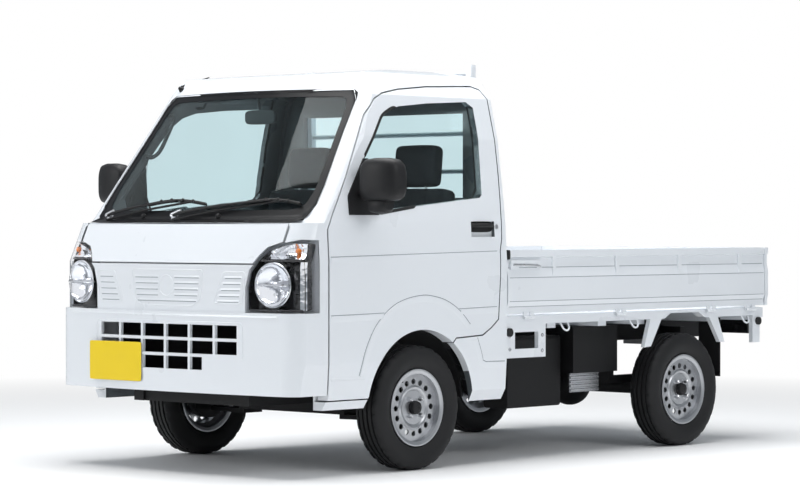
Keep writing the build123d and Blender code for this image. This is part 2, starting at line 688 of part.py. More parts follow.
with BuildPart() as door_fittings:
    add(mirror_sail.part)
    block(HALF_WIDTH - SAIL_THICKNESS - NOSE_SKIN, MIRROR_X, MIRROR_SETBACK - MIRROR_ARM_WIDTH / 2,
          MIRROR_SETBACK + MIRROR_ARM_WIDTH / 2, MIRROR_ARM_LOW + NOSE_SKIN, MIRROR_ARM_TOP)
    add(mirror_head.part)
    block(HANDLE_INNER, HANDLE_OUTER, HANDLE_START, HANDLE_END, HANDLE_LOW, HANDLE_TOP)

# Side gates and tail gate
GATE_FRONT = 1400.0
GATE_END = 3351.5
TAIL_AXIS = OVERALL_LENGTH - PLATE_PROUD - HINGE_RADIUS
TAIL_FACE = TAIL_AXIS + 1.0
SIDE_AXIS = HALF_WIDTH - HINGE_RADIUS
TAIL_HINGE_X = [250.0, 600.0]
DECK_END = TAIL_AXIS - 18.0


def gate_profile(face):
    # gate section from its inner foot, over the top rail and down the stepped face
    inner = face - GATE_THICKNESS
    slant_top = GATE_TOP - GATE_RAIL - GATE_RECESS_HEIGHT
    slant_low = slant_top - GATE_SLANT_HEIGHT
    face_low = slant_low - GATE_FACE_HEIGHT
    return [
        (inner, GATE_BOTTOM),
        (inner, GATE_TOP),
        (face, GATE_TOP),
        (face, GATE_TOP - GATE_RAIL),
        (face - GATE_RECESS, GATE_TOP - GATE_RAIL - GATE_STEP / 2),
        (face - GATE_RECESS, slant_top),
        (face, slant_low),
        (face, face_low),
        (face - GATE_STEP, face_low - GATE_STEP_HEIGHT),
        (face - GATE_STEP, GATE_BOTTOM),
    ]


with BuildPart() as side_gate:
    front_prism(gate_profile(GATE_FACE), GATE_FRONT, GATE_END)
    for station in GATE_RIB_STATIONS:
        block(GATE_FACE - GATE_THICKNESS, GATE_FACE, station - GATE_RIB_WIDTH / 2, station + GATE_RIB_WIDTH / 2,
              GATE_TOP - GATE_RAIL - GATE_RECESS_HEIGHT - GATE_SLANT_HEIGHT, GATE_TOP)
    for station in HINGE_STATIONS:
        for shift in (-HINGE_SPREAD / 2, HINGE_SPREAD / 2):
            low = station + shift - HINGE_LEAF / 2
            high = station + shift + HINGE_LEAF / 2
            block(SIDE_AXIS - HINGE_LEAF_THICKNESS, SIDE_AXIS, low, high, HINGE_HEIGHT, GATE_BOTTOM + GATE_STEP)
            bar((SIDE_AXIS, low, HINGE_HEIGHT), (SIDE_AXIS, high, HINGE_HEIGHT), HINGE_RADIUS)
            bar((SIDE_AXIS, low, HINGE_HEIGHT), (SIDE_AXIS, high, HINGE_HEIGHT), HINGE_PIN_RADIUS + PIN_GAP,
                Mode.SUBTRACT)
    block(GATE_FACE - GATE_THICKNESS, GATE_FACE - GATE_RECESS + LATCH_PROUD, LATCH_START, LATCH_START + LATCH_LENGTH,
          LATCH_CENTRE_Z - LATCH_HEIGHT / 2, LATCH_CENTRE_Z + LATCH_HEIGHT / 2)

with BuildPart() as tail_gate:
    tail_points = [(along(s), z) for s, z in gate_profile(TAIL_FACE)]
    side_prism(tail_points, -GATE_FACE, GATE_FACE)
    for station in [-x for x in TAIL_HINGE_X] + TAIL_HINGE_X:
        for shift in (-HINGE_SPREAD / 2, HINGE_SPREAD / 2):
            low = station + shift - HINGE_LEAF / 2
            high = station + shift + HINGE_LEAF / 2
            block(low, high, TAIL_AXIS - HINGE_LEAF_THICKNESS, TAIL_AXIS, HINGE_HEIGHT, GATE_BOTTOM + GATE_STEP)
            bar((low, TAIL_AXIS, HINGE_HEIGHT), (high, TAIL_AXIS, HINGE_HEIGHT), HINGE_RADIUS)
            bar((low, TAIL_AXIS, HINGE_HEIGHT), (high, TAIL_AXIS, HINGE_HEIGHT), HINGE_PIN_RADIUS + PIN_GAP,
                Mode.SUBTRACT)

# Load deck
SILL_LOW = BED_FLOOR - SILL_DEPTH + 2.0
BRACKET_BACK = 22.0
BEAM_LOW = RAIL_TOP
REAR_BEAM_LOW = 600.0
REAR_BEAM = 34.0
FRONT_PANEL_END = 1684.0
FRONT_PANEL_LOW = 462.0
FRONT_WINDOW = (1470.0, 1633.0, 502.0, 577.0)
FRONT_WINDOW_CORNER = 14.0
deck_sill_rows = [
    (BED_FRONT, BED_FLOOR),
    (DECK_END, BED_FLOOR),
    (DECK_END, SILL_LOW),
    (REAR_AXLE_SETBACK + SILL_NOTCH_HALF + SILL_NOTCH_RAMP, SILL_LOW),
    (REAR_AXLE_SETBACK + SILL_NOTCH_HALF, SILL_LOW + SILL_NOTCH_RISE),
    (REAR_AXLE_SETBACK - SILL_NOTCH_HALF, SILL_LOW + SILL_NOTCH_RISE),
    (REAR_AXLE_SETBACK - SILL_NOTCH_HALF - SILL_NOTCH_RAMP, SILL_LOW),
    (BED_FRONT, SILL_LOW),
]
bracket_rows = [
    [(2458.0, SILL_LOW), (2545.0, SILL_LOW), (2463.0, 484.0), (2412.0, 480.0)],
    [(2922.0, SILL_LOW), (2992.0, SILL_LOW), (3047.0, 488.0), (3009.0, 488.0)],
    [(3280.0, SILL_LOW), (3340.0, SILL_LOW), (3340.0, 478.0), (3280.0, 478.0)],
]
with BuildPart() as deck_side:
    side_prism([(along(s), z) for s, z in deck_sill_rows], DECK_HALF - SILL_WIDTH, DECK_HALF)
    for rows in bracket_rows:
        side_prism([(along(s), z) for s, z in rows], DECK_HALF - BRACKET_BACK, DECK_HALF)
    block(DECK_HALF - BRACKET_BACK, DECK_HALF, BED_FRONT, FRONT_PANEL_END, FRONT_PANEL_LOW, SILL_LOW)
    block(DECK_HALF - SILL_WIDTH, DECK_HALF + FIT_GAP, FRONT_WINDOW[0], FRONT_WINDOW[1], FRONT_WINDOW[2],
          FRONT_WINDOW[3], Mode.SUBTRACT)
    for station in HINGE_STATIONS:
        gap_half = (HINGE_SPREAD - HINGE_LEAF) / 2 - 2.0
        block(DECK_HALF - FIT_GAP, SIDE_AXIS, station - gap_half, station + gap_half,
              HINGE_HEIGHT - HINGE_LEAF_THICKNESS / 2, HINGE_HEIGHT + HINGE_LEAF_THICKNESS / 2)
        bar((SIDE_AXIS, station - gap_half, HINGE_HEIGHT), (SIDE_AXIS, station + gap_half, HINGE_HEIGHT), HINGE_RADIUS)
        bar((SIDE_AXIS, station - HINGE_SPREAD / 2, HINGE_HEIGHT), (SIDE_AXIS, station + HINGE_SPREAD / 2, HINGE_HEIGHT),
            HINGE_PIN_RADIUS)
    mirror(about=Plane.YZ)

with BuildPart() as bed_deck:
    block(-DECK_HALF, DECK_HALF, BED_FRONT, DECK_END, BED_FLOOR - DECK_THICKNESS, BED_FLOOR)
    add(deck_side.part)
    load_half = GATE_FACE - GATE_THICKNESS - PANEL_GAP
    block(-load_half, load_half, BED_FRONT + GUARD_TUBE + PANEL_GAP, TAIL_FACE - GATE_THICKNESS - PANEL_GAP,
          BED_FLOOR, BED_FLOOR + LOAD_PANEL)
    for station in CROSS_BEAM_STATIONS:
        block(SILL_WIDTH - DECK_HALF, DECK_HALF - SILL_WIDTH, station - CROSS_BEAM_WIDTH / 2,
              station + CROSS_BEAM_WIDTH / 2, BEAM_LOW, BED_FLOOR - DECK_THICKNESS)
    block(-DECK_HALF, DECK_HALF, DECK_END - REAR_BEAM, DECK_END, REAR_BEAM_LOW, BED_FLOOR)
    for station in [-x for x in TAIL_HINGE_X] + TAIL_HINGE_X:
        gap_half = (HINGE_SPREAD - HINGE_LEAF) / 2 - 2.0
        block(station - gap_half, station + gap_half, DECK_END - FIT_GAP, TAIL_AXIS,
              HINGE_HEIGHT - HINGE_LEAF_THICKNESS / 2, HINGE_HEIGHT + HINGE_LEAF_THICKNESS / 2)
        bar((station - gap_half, TAIL_AXIS, HINGE_HEIGHT), (station + gap_half, TAIL_AXIS, HINGE_HEIGHT), HINGE_RADIUS)
        bar((station - HINGE_SPREAD / 2, TAIL_AXIS, HINGE_HEIGHT), (station + HINGE_SPREAD / 2, TAIL_AXIS, HINGE_HEIGHT),
            HINGE_PIN_RADIUS)

with BuildPart() as bed_front:
    block(-GATE_FACE + GATE_THICKNESS + PANEL_GAP, GATE_FACE - GATE_THICKNESS - PANEL_GAP, BED_FRONT,
          BED_FRONT + BULKHEAD_THICKNESS, BED_FLOOR, GATE_TOP)
    post_s = BED_FRONT + GUARD_TUBE / 2
    for x in (-GUARD_POST_X, GUARD_POST_X):
        block(x - GUARD_TUBE / 2, x + GUARD_TUBE / 2, BED_FRONT, BED_FRONT + GUARD_TUBE, GATE_TOP, GUARD_TIP)
    for height in GUARD_BAR_HEIGHTS + [GUARD_TOP_BAR]:
        bar((-GUARD_POST_X, post_s, height), (GUARD_POST_X, post_s, height), GUARD_TUBE / 3)

STOP_POSITIONS = [(1427.0, 578.0), (3320.0, 584.0)]
with BuildPart() as gate_stops:
    for s, z in STOP_POSITIONS:
        bar((DECK_HALF, s, z), (DECK_HALF + STOP_PROUD, s, z), STOP_RADIUS)
    mirror(about=Plane.YZ)

# Chassis frame
FRAME_FRONT = 150.0
FRAME_END = 3330.0
KICK_START = 492.0
KICK_END = 600.0
FRAME_CROSS = [(190.0, RAIL_FRONT_TOP), (1290.0, RAIL_TOP), (1900.0, RAIL_TOP), (2500.0, RAIL_TOP), (3240.0, RAIL_TOP)]
FRAME_CROSS_WIDTH = 60.0
TOWER_WIDTH = 60.0
SUBFRAME_LOW = 225.0
SUBFRAME_TOP = 285.0
SUBFRAME_HALF = 330.0
SUBFRAME_WIDTH = 120.0
PAD_STATIONS = [640.0, 1310.0]
with BuildPart() as rail:
    rail_rows = [
        (FRAME_FRONT, RAIL_FRONT_TOP),
        (KICK_START, RAIL_FRONT_TOP),
        (KICK_END, RAIL_TOP),
        (FRAME_END, RAIL_TOP),
        (FRAME_END, RAIL_TOP - RAIL_HEIGHT),
        (KICK_END + RAIL_HEIGHT / 2, RAIL_TOP - RAIL_HEIGHT),
        (KICK_START + RAIL_HEIGHT / 2, RAIL_FRONT_TOP - RAIL_HEIGHT),
        (FRAME_FRONT, RAIL_FRONT_TOP - RAIL_HEIGHT),
    ]
    side_prism([(along(s), z) for s, z in rail_rows], RAIL_X - RAIL_WIDTH / 2, RAIL_X + RAIL_WIDTH / 2)
    for station in PAD_STATIONS:
        block(RAIL_X - RAIL_WIDTH / 4, RAIL_X + RAIL_WIDTH / 4, station - RAIL_WIDTH / 2, station + RAIL_WIDTH / 2,
              RAIL_TOP, SEAT_BOX_HEIGHT - FLOOR_THICKNESS)
    block(RAIL_X - TOWER_WIDTH / 2, RAIL_X + TOWER_WIDTH / 2, FRONT_AXLE_SETBACK - TOWER_WIDTH / 2,
          FRONT_AXLE_SETBACK + TOWER_WIDTH / 2, SUBFRAME_TOP - FIT_GAP, RAIL_TOP - RAIL_HEIGHT + FIT_GAP)
    mirror(about=Plane.YZ)

with BuildPart() as chassis_frame:
    add(rail.part)
    for station, top in FRAME_CROSS:
        block(-RAIL_X, RAIL_X, station - FRAME_CROSS_WIDTH / 2, station + FRAME_CROSS_WIDTH / 2, top - RAIL_HEIGHT, top)
    block(-SUBFRAME_HALF, SUBFRAME_HALF, FRONT_AXLE_SETBACK - SUBFRAME_WIDTH / 2,
          FRONT_AXLE_SETBACK + SUBFRAME_WIDTH / 2, SUBFRAME_LOW, SUBFRAME_TOP)

# Engine with gearbox
ENGINE = (-230.0, 230.0, 900.0, 1230.0, 300.0, 600.0)
GEARBOX = (-110.0, 110.0, 1230.0, 1520.0, 310.0, 498.0)
ENGINE_ARM_LOW = 520.0
ENGINE_ARM_TOP = 560.0
ENGINE_ARM = (1020.0, 1080.0)
with BuildPart() as engine_block:
    block(*ENGINE)
    block(*GEARBOX)
    block(RAIL_WIDTH / 2 - RAIL_X, RAIL_X - RAIL_WIDTH / 2, ENGINE_ARM[0], ENGINE_ARM[1], ENGINE_ARM_LOW,
          ENGINE_ARM_TOP)

TANK = (360.0, 505.0, 1660.0, 2040.0, 216.0, 545.0)
BOX_ROUND = 18.0
with BuildPart() as fuel_tank:
    block(*TANK)
    fillet(fuel_tank.edges().filter_by(Axis.Y), radius=BOX_ROUND)

BATTERY = (360.0, 560.0, 2068.0, 2398.0, 365.0, 583.0)
with BuildPart() as battery_box:
    block(*BATTERY)

PIPE_RADIUS = 20.0
MUFFLER_RADIUS = 75.0
EXHAUST_X = -190.0
EXHAUST_Z = 400.0
MUFFLER_START = 1750.0
MUFFLER_END = 2250.0
TAILPIPE_END = 3280.0
STRAP_HALF = 10.0
with BuildPart() as exhaust:
    bar((EXHAUST_X, ENGINE[3], EXHAUST_Z), (EXHAUST_X, TAILPIPE_END, EXHAUST_Z), PIPE_RADIUS)
    bar((EXHAUST_X, MUFFLER_START, EXHAUST_Z), (EXHAUST_X, MUFFLER_END, EXHAUST_Z), MUFFLER_RADIUS)
    for station in (FRAME_CROSS[2][0], FRAME_CROSS[4][0]):
        block(EXHAUST_X - STRAP_HALF, EXHAUST_X + STRAP_HALF, station - STRAP_HALF, station + STRAP_HALF, EXHAUST_Z,
              RAIL_TOP - RAIL_HEIGHT)

# Front suspension arms
ARM_LOW = 205.0
ARM_TOP = 235.0
ARM_ROOT = 300.0
ARM_TIP_RADIUS = 20.0
BALL_PIN_RADIUS = 8.0
BALL_PIN_HEIGHT = 24.0
ARM_ROOT_HALF = 58.0
with BuildPart() as front_suspension:
    with BuildSketch(Plane.XY.offset(ARM_LOW)):
        with BuildLine():
            Polyline(
                (ARM_ROOT, along(FRONT_AXLE_SETBACK - ARM_ROOT_HALF)),
                (KINGPIN_X, along(FRONT_AXLE_SETBACK - ARM_TIP_RADIUS)),
                (KINGPIN_X, along(FRONT_AXLE_SETBACK + ARM_TIP_RADIUS)),
                (ARM_ROOT, along(FRONT_AXLE_SETBACK + ARM_ROOT_HALF)),
                close=True,
            )
        make_face()
        with Locations((KINGPIN_X, along(FRONT_AXLE_SETBACK))):
            Circle(ARM_TIP_RADIUS)
    extrude(amount=SUBFRAME_LOW - ARM_LOW)
    bar((KINGPIN_X, FRONT_AXLE_SETBACK, ARM_LOW), (KINGPIN_X, FRONT_AXLE_SETBACK, SUBFRAME_LOW + BALL_PIN_HEIGHT),
        BALL_PIN_RADIUS)
    mirror(about=Plane.YZ)

# Rear axle, leaf springs and propeller shaft
LEAF_START = 2425.0
LEAF_END = 3030.0
LEAF_THICKNESS = 34.0
HANGER_WIDTH = 40.0
REAR_WHEEL_X = REAR_TRACK / 2
FRONT_WHEEL_X = FRONT_TRACK / 2
DISC_FACE = 35.0
SPINDLE_RADIUS = 16.0
SPINDLE_GAP = 0.5
HUB_RADIUS = 44.0
HUB_DEPTH = 46.0
SPINDLE_END_GAP = 10.0
DRUM_GAP = 8.0
SHAFT_RADIUS = 34.0
SHAFT_START = (0.0, 1524.0, 400.0)
with BuildPart() as rear_axle:
    drum_outer = REAR_WHEEL_X + DISC_FACE - HUB_DEPTH - DRUM_GAP
    drum_inner = drum_outer - DRUM_DEPTH
    axle = (REAR_AXLE_SETBACK, TYRE_RADIUS)
    bar((-drum_inner, *axle), (drum_inner, *axle), AXLE_TUBE_RADIUS)
    for side in (-1, 1):
        bar((side * drum_inner, *axle), (side * drum_outer, *axle), DRUM_RADIUS)
        bar((side * drum_inner, *axle), (side * (REAR_WHEEL_X + DISC_FACE - SPINDLE_END_GAP), *axle), SPINDLE_RADIUS)
        x_low = side * SPRING_X - SPRING_WIDTH / 2
        block(x_low, x_low + SPRING_WIDTH, LEAF_START, LEAF_END, TYRE_RADIUS + AXLE_TUBE_RADIUS - FIT_GAP,
              TYRE_RADIUS + AXLE_TUBE_RADIUS + LEAF_THICKNESS)
        hanger = sorted([side * (RAIL_X + RAIL_WIDTH / 2), side * (SPRING_X + SPRING_WIDTH / 2)])
        for station in (LEAF_START, LEAF_END - HANGER_WIDTH):
            block(hanger[0], hanger[1], station, station + HANGER_WIDTH, TYRE_RADIUS + AXLE_TUBE_RADIUS,
                  RAIL_TOP - RAIL_WIDTH / 2)
    with Locations((0, along(REAR_AXLE_SETBACK), TYRE_RADIUS)):
        Sphere(DIFF_RADIUS)
    bar(SHAFT_START, (0, REAR_AXLE_SETBACK, TYRE_RADIUS), SHAFT_RADIUS)

# Knuckles with struts
KNUCKLE_LOW = SUBFRAME_LOW + PANEL_GAP
KNUCKLE_RADIUS = 27.0
KNUCKLE_HIGH = 330.0
STRUT_HIGH = 600.0
with BuildPart() as knuckle:
    drum_outer = FRONT_WHEEL_X + DISC_FACE - HUB_DEPTH - DRUM_GAP
    drum_inner = drum_outer - DRUM_DEPTH
    centre = (FRONT_AXLE_SETBACK, TYRE_RADIUS)
    bar((KINGPIN_X, FRONT_AXLE_SETBACK, KNUCKLE_LOW), (KINGPIN_X, FRONT_AXLE_SETBACK, KNUCKLE_HIGH), KNUCKLE_RADIUS)
    bar((KINGPIN_X, FRONT_AXLE_SETBACK, KNUCKLE_HIGH), (KINGPIN_X, FRONT_AXLE_SETBACK, STRUT_HIGH), STRUT_RADIUS)
    bar((KINGPIN_X, *centre), (drum_inner, *centre), KNUCKLE_RADIUS)
    bar((drum_inner, *centre), (drum_outer, *centre), DRUM_RADIUS)
    bar((drum_inner, *centre), (FRONT_WHEEL_X + DISC_FACE - SPINDLE_END_GAP, *centre), SPINDLE_RADIUS)
    bar((KINGPIN_X, FRONT_AXLE_SETBACK, ARM_LOW), (KINGPIN_X, FRONT_AXLE_SETBACK, SUBFRAME_LOW + BALL_PIN_HEIGHT + FIT_GAP),
        BALL_PIN_RADIUS + PIN_GAP, Mode.SUBTRACT)

# Splash guards and mud flaps
LINER_THICKNESS = 12.0
LINER_OUTER = 660.0
LINER_LOW = 300.0
LINER_TAB_HALF = 90.0
FLAP = (560.0, 688.0, 3040.0, 3046.0, 319.0, 606.0)
with BuildPart() as splash_guards:
    with BuildSketch(Plane.YZ.offset(ARCH_INNER)):
        with Locations((along(FRONT_AXLE_SETBACK + ARCH_SHIFT), TYRE_RADIUS)):
            Circle(ARCH_RADIUS + LINER_THICKNESS)
            Circle(ARCH_RADIUS, mode=Mode.SUBTRACT)
    extrude(amount=LINER_OUTER - ARCH_INNER)
    block(ARCH_INNER, LINER_OUTER, 0, CAB_REAR, -TYRE_RADIUS, LINER_LOW, Mode.SUBTRACT)
    block(ARCH_INNER, LINER_OUTER, 0, SEAT_BOX_FRONT + FLOOR_THICKNESS, 0, CAB_HEIGHT, Mode.SUBTRACT)
    block(ARCH_INNER, LINER_OUTER, FRONT_AXLE_SETBACK - LINER_TAB_HALF, FRONT_AXLE_SETBACK + LINER_TAB_HALF,
          TYRE_RADIUS + ARCH_RADIUS, SEAT_BOX_HEIGHT - FLOOR_THICKNESS)
    block(*FLAP)
    mirror(about=Plane.YZ)

# Tail lamps and number plates
LAMP_INNER = 480.0
LAMP_OUTER = 650.0
LAMP_LOW = 520.0
LAMP_FRONT = DECK_END - 40.0
with BuildPart() as tail_lamps:
    block(LAMP_INNER, LAMP_OUTER, LAMP_FRONT, DECK_END, LAMP_LOW, REAR_BEAM_LOW)
    mirror(about=Plane.YZ)

REAR_PLATE_LOW = 446.0
HOLDER_SHARE = 0.5
with BuildPart() as number_plates:
    block(PLATE_CENTRE_X - PLATE_WIDTH / 2, PLATE_CENTRE_X + PLATE_WIDTH / 2, -PLATE_PROUD,
          PLATE_THICKNESS - PLATE_PROUD, PLATE_CENTRE_Z - PLATE_HEIGHT / 2, PLATE_CENTRE_Z + PLATE_HEIGHT / 2)
    block(PLATE_CENTRE_X - PLATE_WIDTH / 2 * HOLDER_SHARE, PLATE_CENTRE_X + PLATE_WIDTH / 2 * HOLDER_SHARE,
          PLATE_THICKNESS - PLATE_PROUD, NOSE_SKIN, PLATE_CENTRE_Z - PLATE_HEIGHT / 2 * HOLDER_SHARE,
          PLATE_CENTRE_Z + PLATE_HEIGHT / 2 * HOLDER_SHARE)
    add(bumper.part, mode=Mode.SUBTRACT)
    block(-PLATE_WIDTH / 2, PLATE_WIDTH / 2, DECK_END, DECK_END + PLATE_THICKNESS, REAR_PLATE_LOW,
          REAR_PLATE_LOW + PLATE_HEIGHT)

# Dashboard with steering column
DASH_ROWS = [
    (140.0, 1058.0),
    (330.0, 1030.0),
    (400.0, 960.0),
    (400.0, 850.0),
    (320.0, 780.0),
    (140.0, 780.0),
]
WHEEL_X = -330.0
WHEEL_SETBACK = 545.0
WHEEL_Z = 1010.0
COLUMN_TILT = 50.0
COLUMN_LENGTH = 300.0
COLUMN_RADIUS = 26.0
COLUMN_GAP = 14.0
STEER_SHAFT_RADIUS = 9.0
STEER_SHAFT_LENGTH = 60.0
STEER_RING_RADIUS = 176.0
STEER_GRIP_RADIUS = 13.0
STEER_HUB_RADIUS = 55.0
STEER_HUB_DEPTH = 30.0
STEER_SPOKES = 3
SPOKE_WIDTH = 34.0
SPOKE_THICKNESS = 12.0
wheel_centre = Vector(WHEEL_X, along(WHEEL_SETBACK), WHEEL_Z)
column_axis = Vector(0, cos(radians(COLUMN_TILT)), sin(radians(COLUMN_TILT)))
wheel_plane = Plane(origin=wheel_centre, x_dir=(1, 0, 0), z_dir=column_axis)
with BuildPart() as dashboard:
    side_prism([(along(s), z) for s, z in DASH_ROWS], -ROOM_CLEAR, ROOM_CLEAR)
    add(room.part, mode=Mode.INTERSECT)
    with Locations(wheel_plane.offset(-COLUMN_LENGTH - COLUMN_GAP - STEER_HUB_DEPTH / 2)):
        Cylinder(COLUMN_RADIUS, COLUMN_LENGTH, align=(Align.CENTER, Align.CENTER, Align.MIN))
    with Locations(wheel_plane.offset(-COLUMN_GAP - STEER_HUB_DEPTH / 2 - STEER_SHAFT_LENGTH)):
        Cylinder(STEER_SHAFT_RADIUS + FIT_GAP, STEER_SHAFT_LENGTH + COLUMN_GAP, mode=Mode.SUBTRACT,
                 align=(Align.CENTER, Align.CENTER, Align.MIN))

with BuildPart() as steering_wheel:
    with Locations(wheel_plane):
        Torus(STEER_RING_RADIUS, STEER_GRIP_RADIUS)
        Cylinder(STEER_HUB_RADIUS, STEER_HUB_DEPTH)
        with PolarLocations(STEER_RING_RADIUS / 2, STEER_SPOKES, start_angle=-90):
            Box(STEER_RING_RADIUS, SPOKE_WIDTH, SPOKE_THICKNESS)
    with Locations(wheel_plane.offset(-STEER_HUB_DEPTH / 2 - STEER_SHAFT_LENGTH + COLUMN_GAP / 2)):
        Cylinder(STEER_SHAFT_RADIUS, STEER_SHAFT_LENGTH, align=(Align.CENTER, Align.CENTER, Align.MIN))

# Seats
SEAT_INNER = 105.0
SEAT_OUTER = 570.0
HEAD_INNER = 205.0
HEAD_OUTER = 470.0
CUSHION_ROWS = [(650.0, 640.0), (650.0, 760.0), (1130.0, 740.0), (1230.0, 740.0), (1230.0, 640.0)]
BACK_ROWS = [(1110.0, 735.0), (1200.0, 1240.0), (1290.0, 1240.0), (1230.0, 735.0)]
HEAD_ROWS = [(1195.0, 1220.0), (1235.0, 1430.0), (1300.0, 1430.0), (1285.0, 1220.0)]
with BuildPart() as seats:
    side_prism([(along(s), z) for s, z in CUSHION_ROWS], SEAT_INNER, SEAT_OUTER)
    side_prism([(along(s), z) for s, z in BACK_ROWS], SEAT_INNER, SEAT_OUTER)
    side_prism([(along(s), z) for s, z in HEAD_ROWS], HEAD_INNER, HEAD_OUTER)
    mirror(about=Plane.YZ)

# Room mirror and grab handle
ROOM_MIRROR = (-95.0, 95.0, 560.0, 575.0, 1500.0, 1560.0)
STALK = (0.0, 575.0, 1540.0)
STALK_TOP = (0.0, 590.0, 1680.0)
STALK_RADIUS = 8.0
with BuildPart() as cab_fittings:
    block(*ROOM_MIRROR)
    bar(STALK, STALK_TOP, STALK_RADIUS)
    add(cab_main, mode=Mode.SUBTRACT)
fitting_main = cab_fittings.part.solids().sort_by(SortBy.VOLUME)[-1]

# Wheels
RIM_ROWS = [
    (-59.0, 167.0),
    (-54.0, 167.0),
    (-52.0, 153.0),
    (-28.0, 153.0),
    (-18.0, 134.0),
    (18.0, 134.0),
    (28.0, 153.0),
    (52.0, 153.0),
    (54.0, 167.0),
    (59.0, 167.0),
    (59.0, 161.0),
    (55.0, 147.0),
    (31.0, 146.0),
    (21.0, 128.0),
    (-21.0, 128.0),
    (-31.0, 146.0),
    (-55.0, 147.0),
    (-59.0, 161.0),
]


def wheel_frame(side, wheel_x, setback):
    # local Z runs out of the truck along the axle, local X is up
    return Plane(origin=(side * wheel_x, along(setback), TYRE_RADIUS), x_dir=(0, 0, 1), z_dir=(side, 0, 0))


with BuildPart() as rim:
    with BuildSketch(Plane.XZ):
        with BuildLine():
            Polyline(*[(r, w) for w, r in RIM_ROWS], close=True)
        make_face()
    revolve(axis=Axis.Z)
    with Locations((0, 0, DISC_FACE)):
        Cylinder(DISC_RADIUS, DISC_THICKNESS, align=(Align.CENTER, Align.CENTER, Align.MAX))
    with Locations((0, 0, DISC_FACE)):
        Cylinder(HUB_RADIUS, HUB_DEPTH, align=(Align.CENTER, Align.CENTER, Align.MAX))
    with Locations((0, 0, DISC_FACE - HUB_DEPTH)):
        Cylinder(SPINDLE_RADIUS + SPINDLE_GAP, HUB_DEPTH - SPINDLE_END_GAP + 2 * SPINDLE_GAP, mode=Mode.SUBTRACT,
                 align=(Align.CENTER, Align.CENTER, Align.MIN))
    with PolarLocations(VENT_CIRCLE_RADIUS, VENT_COUNT):
        Cylinder(VENT_RADIUS, HUB_DEPTH * 3, mode=Mode.SUBTRACT)
    with PolarLocations(STUD_CIRCLE_RADIUS, STUD_COUNT, start_angle=45):
        Cylinder(STUD_HOLE_RADIUS, HUB_DEPTH * 3, mode=Mode.SUBTRACT)

with BuildPart() as tyre:
    with BuildSketch(Plane.XZ):
        with BuildLine():
            foot = Line((153.0, -52.0), (153.0, 52.0))
            lower = Line((153.0, 52.0), (168.0, 53.5))
            wall = ThreePointArc(lower @ 1, (214.0, TYRE_WIDTH / 2), (258.0, 60.0))
            crown = ThreePointArc(wall @ 1, (TYRE_RADIUS, 0), (258.0, -60.0))
            other = ThreePointArc(crown @ 1, (214.0, -TYRE_WIDTH / 2), (168.0, -53.5))
            Line(other @ 1, (153.0, -52.0))
        make_face()
    revolve(axis=Axis.Z)

# Write every node
fixed_nodes = {
    "cab_shell": cab_main,
    "grille_panel": grille_panel.part,
    "bonnet": bonnet.part,
    "front_bumper": bumper.part,
    "headlamp_lenses": headlamp_lenses.part,
    "headlamp_housings": headlamp_housings.part,
    "cab_glass": cab_glass.part,
    "cowl_and_wipers": cowl.part,
    "bed_deck": bed_deck.part,
    "bed_front": bed_front.part,
    "gate_stops": gate_stops.part,
    "tail_gate": tail_gate.part,
    "chassis_frame": chassis_frame.part,
    "engine_block": engine_block.part,
    "fuel_tank": fuel_tank.part,
    "battery_box": battery_box.part,
    "exhaust": exhaust.part,
    "front_suspension": front_suspension.part,
    "rear_axle": rear_axle.part,
    "splash_guards": splash_guards.part,
    "tail_lamps": tail_lamps.part,
    "number_plates": number_plates.part,
    "dashboard": dashboard.part,
    "steering_wheel": steering_wheel.part,
    "seats": seats.part,
    "cab_fittings": fitting_main,
}
sided_nodes = {
    "door_shell": door_shell.part,
    "door_glass": door_glass.part,
    "door_fittings": door_fittings.part,
    "side_gate": side_gate.part,
    "knuckle": knuckle.part,
}
for name, shape in fixed_nodes.items():
    with BuildPart() as node:
        add(shape)
    node.part.label = name
    export_step(node.part, "parts/" + name + ".step")
for name, shape in sided_nodes.items():
    with BuildPart() as left_node:
        add(shape)
    left_node.part.label = name + "_left"
    export_step(left_node.part, "parts/" + name + "_left.step")
    with BuildPart() as right_node:
        add(shape.mirror(Plane.YZ))
    right_node.part.label = name + "_right"
    export_step(right_node.part, "parts/" + name + "_right.step")
corners = {
    "front_left": wheel_frame(1, FRONT_WHEEL_X, FRONT_AXLE_SETBACK),
    "front_right": wheel_frame(-1, FRONT_WHEEL_X, FRONT_AXLE_SETBACK),
    "rear_left": wheel_frame(1, REAR_WHEEL_X, REAR_AXLE_SETBACK),
    "rear_right": wheel_frame(-1, REAR_WHEEL_X, REAR_AXLE_SETBACK),
}
for corner, frame in corners.items():
    for name, shape in (("rim", rim.part), ("tyre", tyre.part)):
        with BuildPart() as node:
            add(shape.moved(frame.location))
        node.part.label = name + "_" + corner
        export_step(node.part, "parts/" + name + "_" + corner + ".step")
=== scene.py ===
import bmesh
import bpy
import math
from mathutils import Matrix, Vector
from mathutils.bvhtree import BVHTree


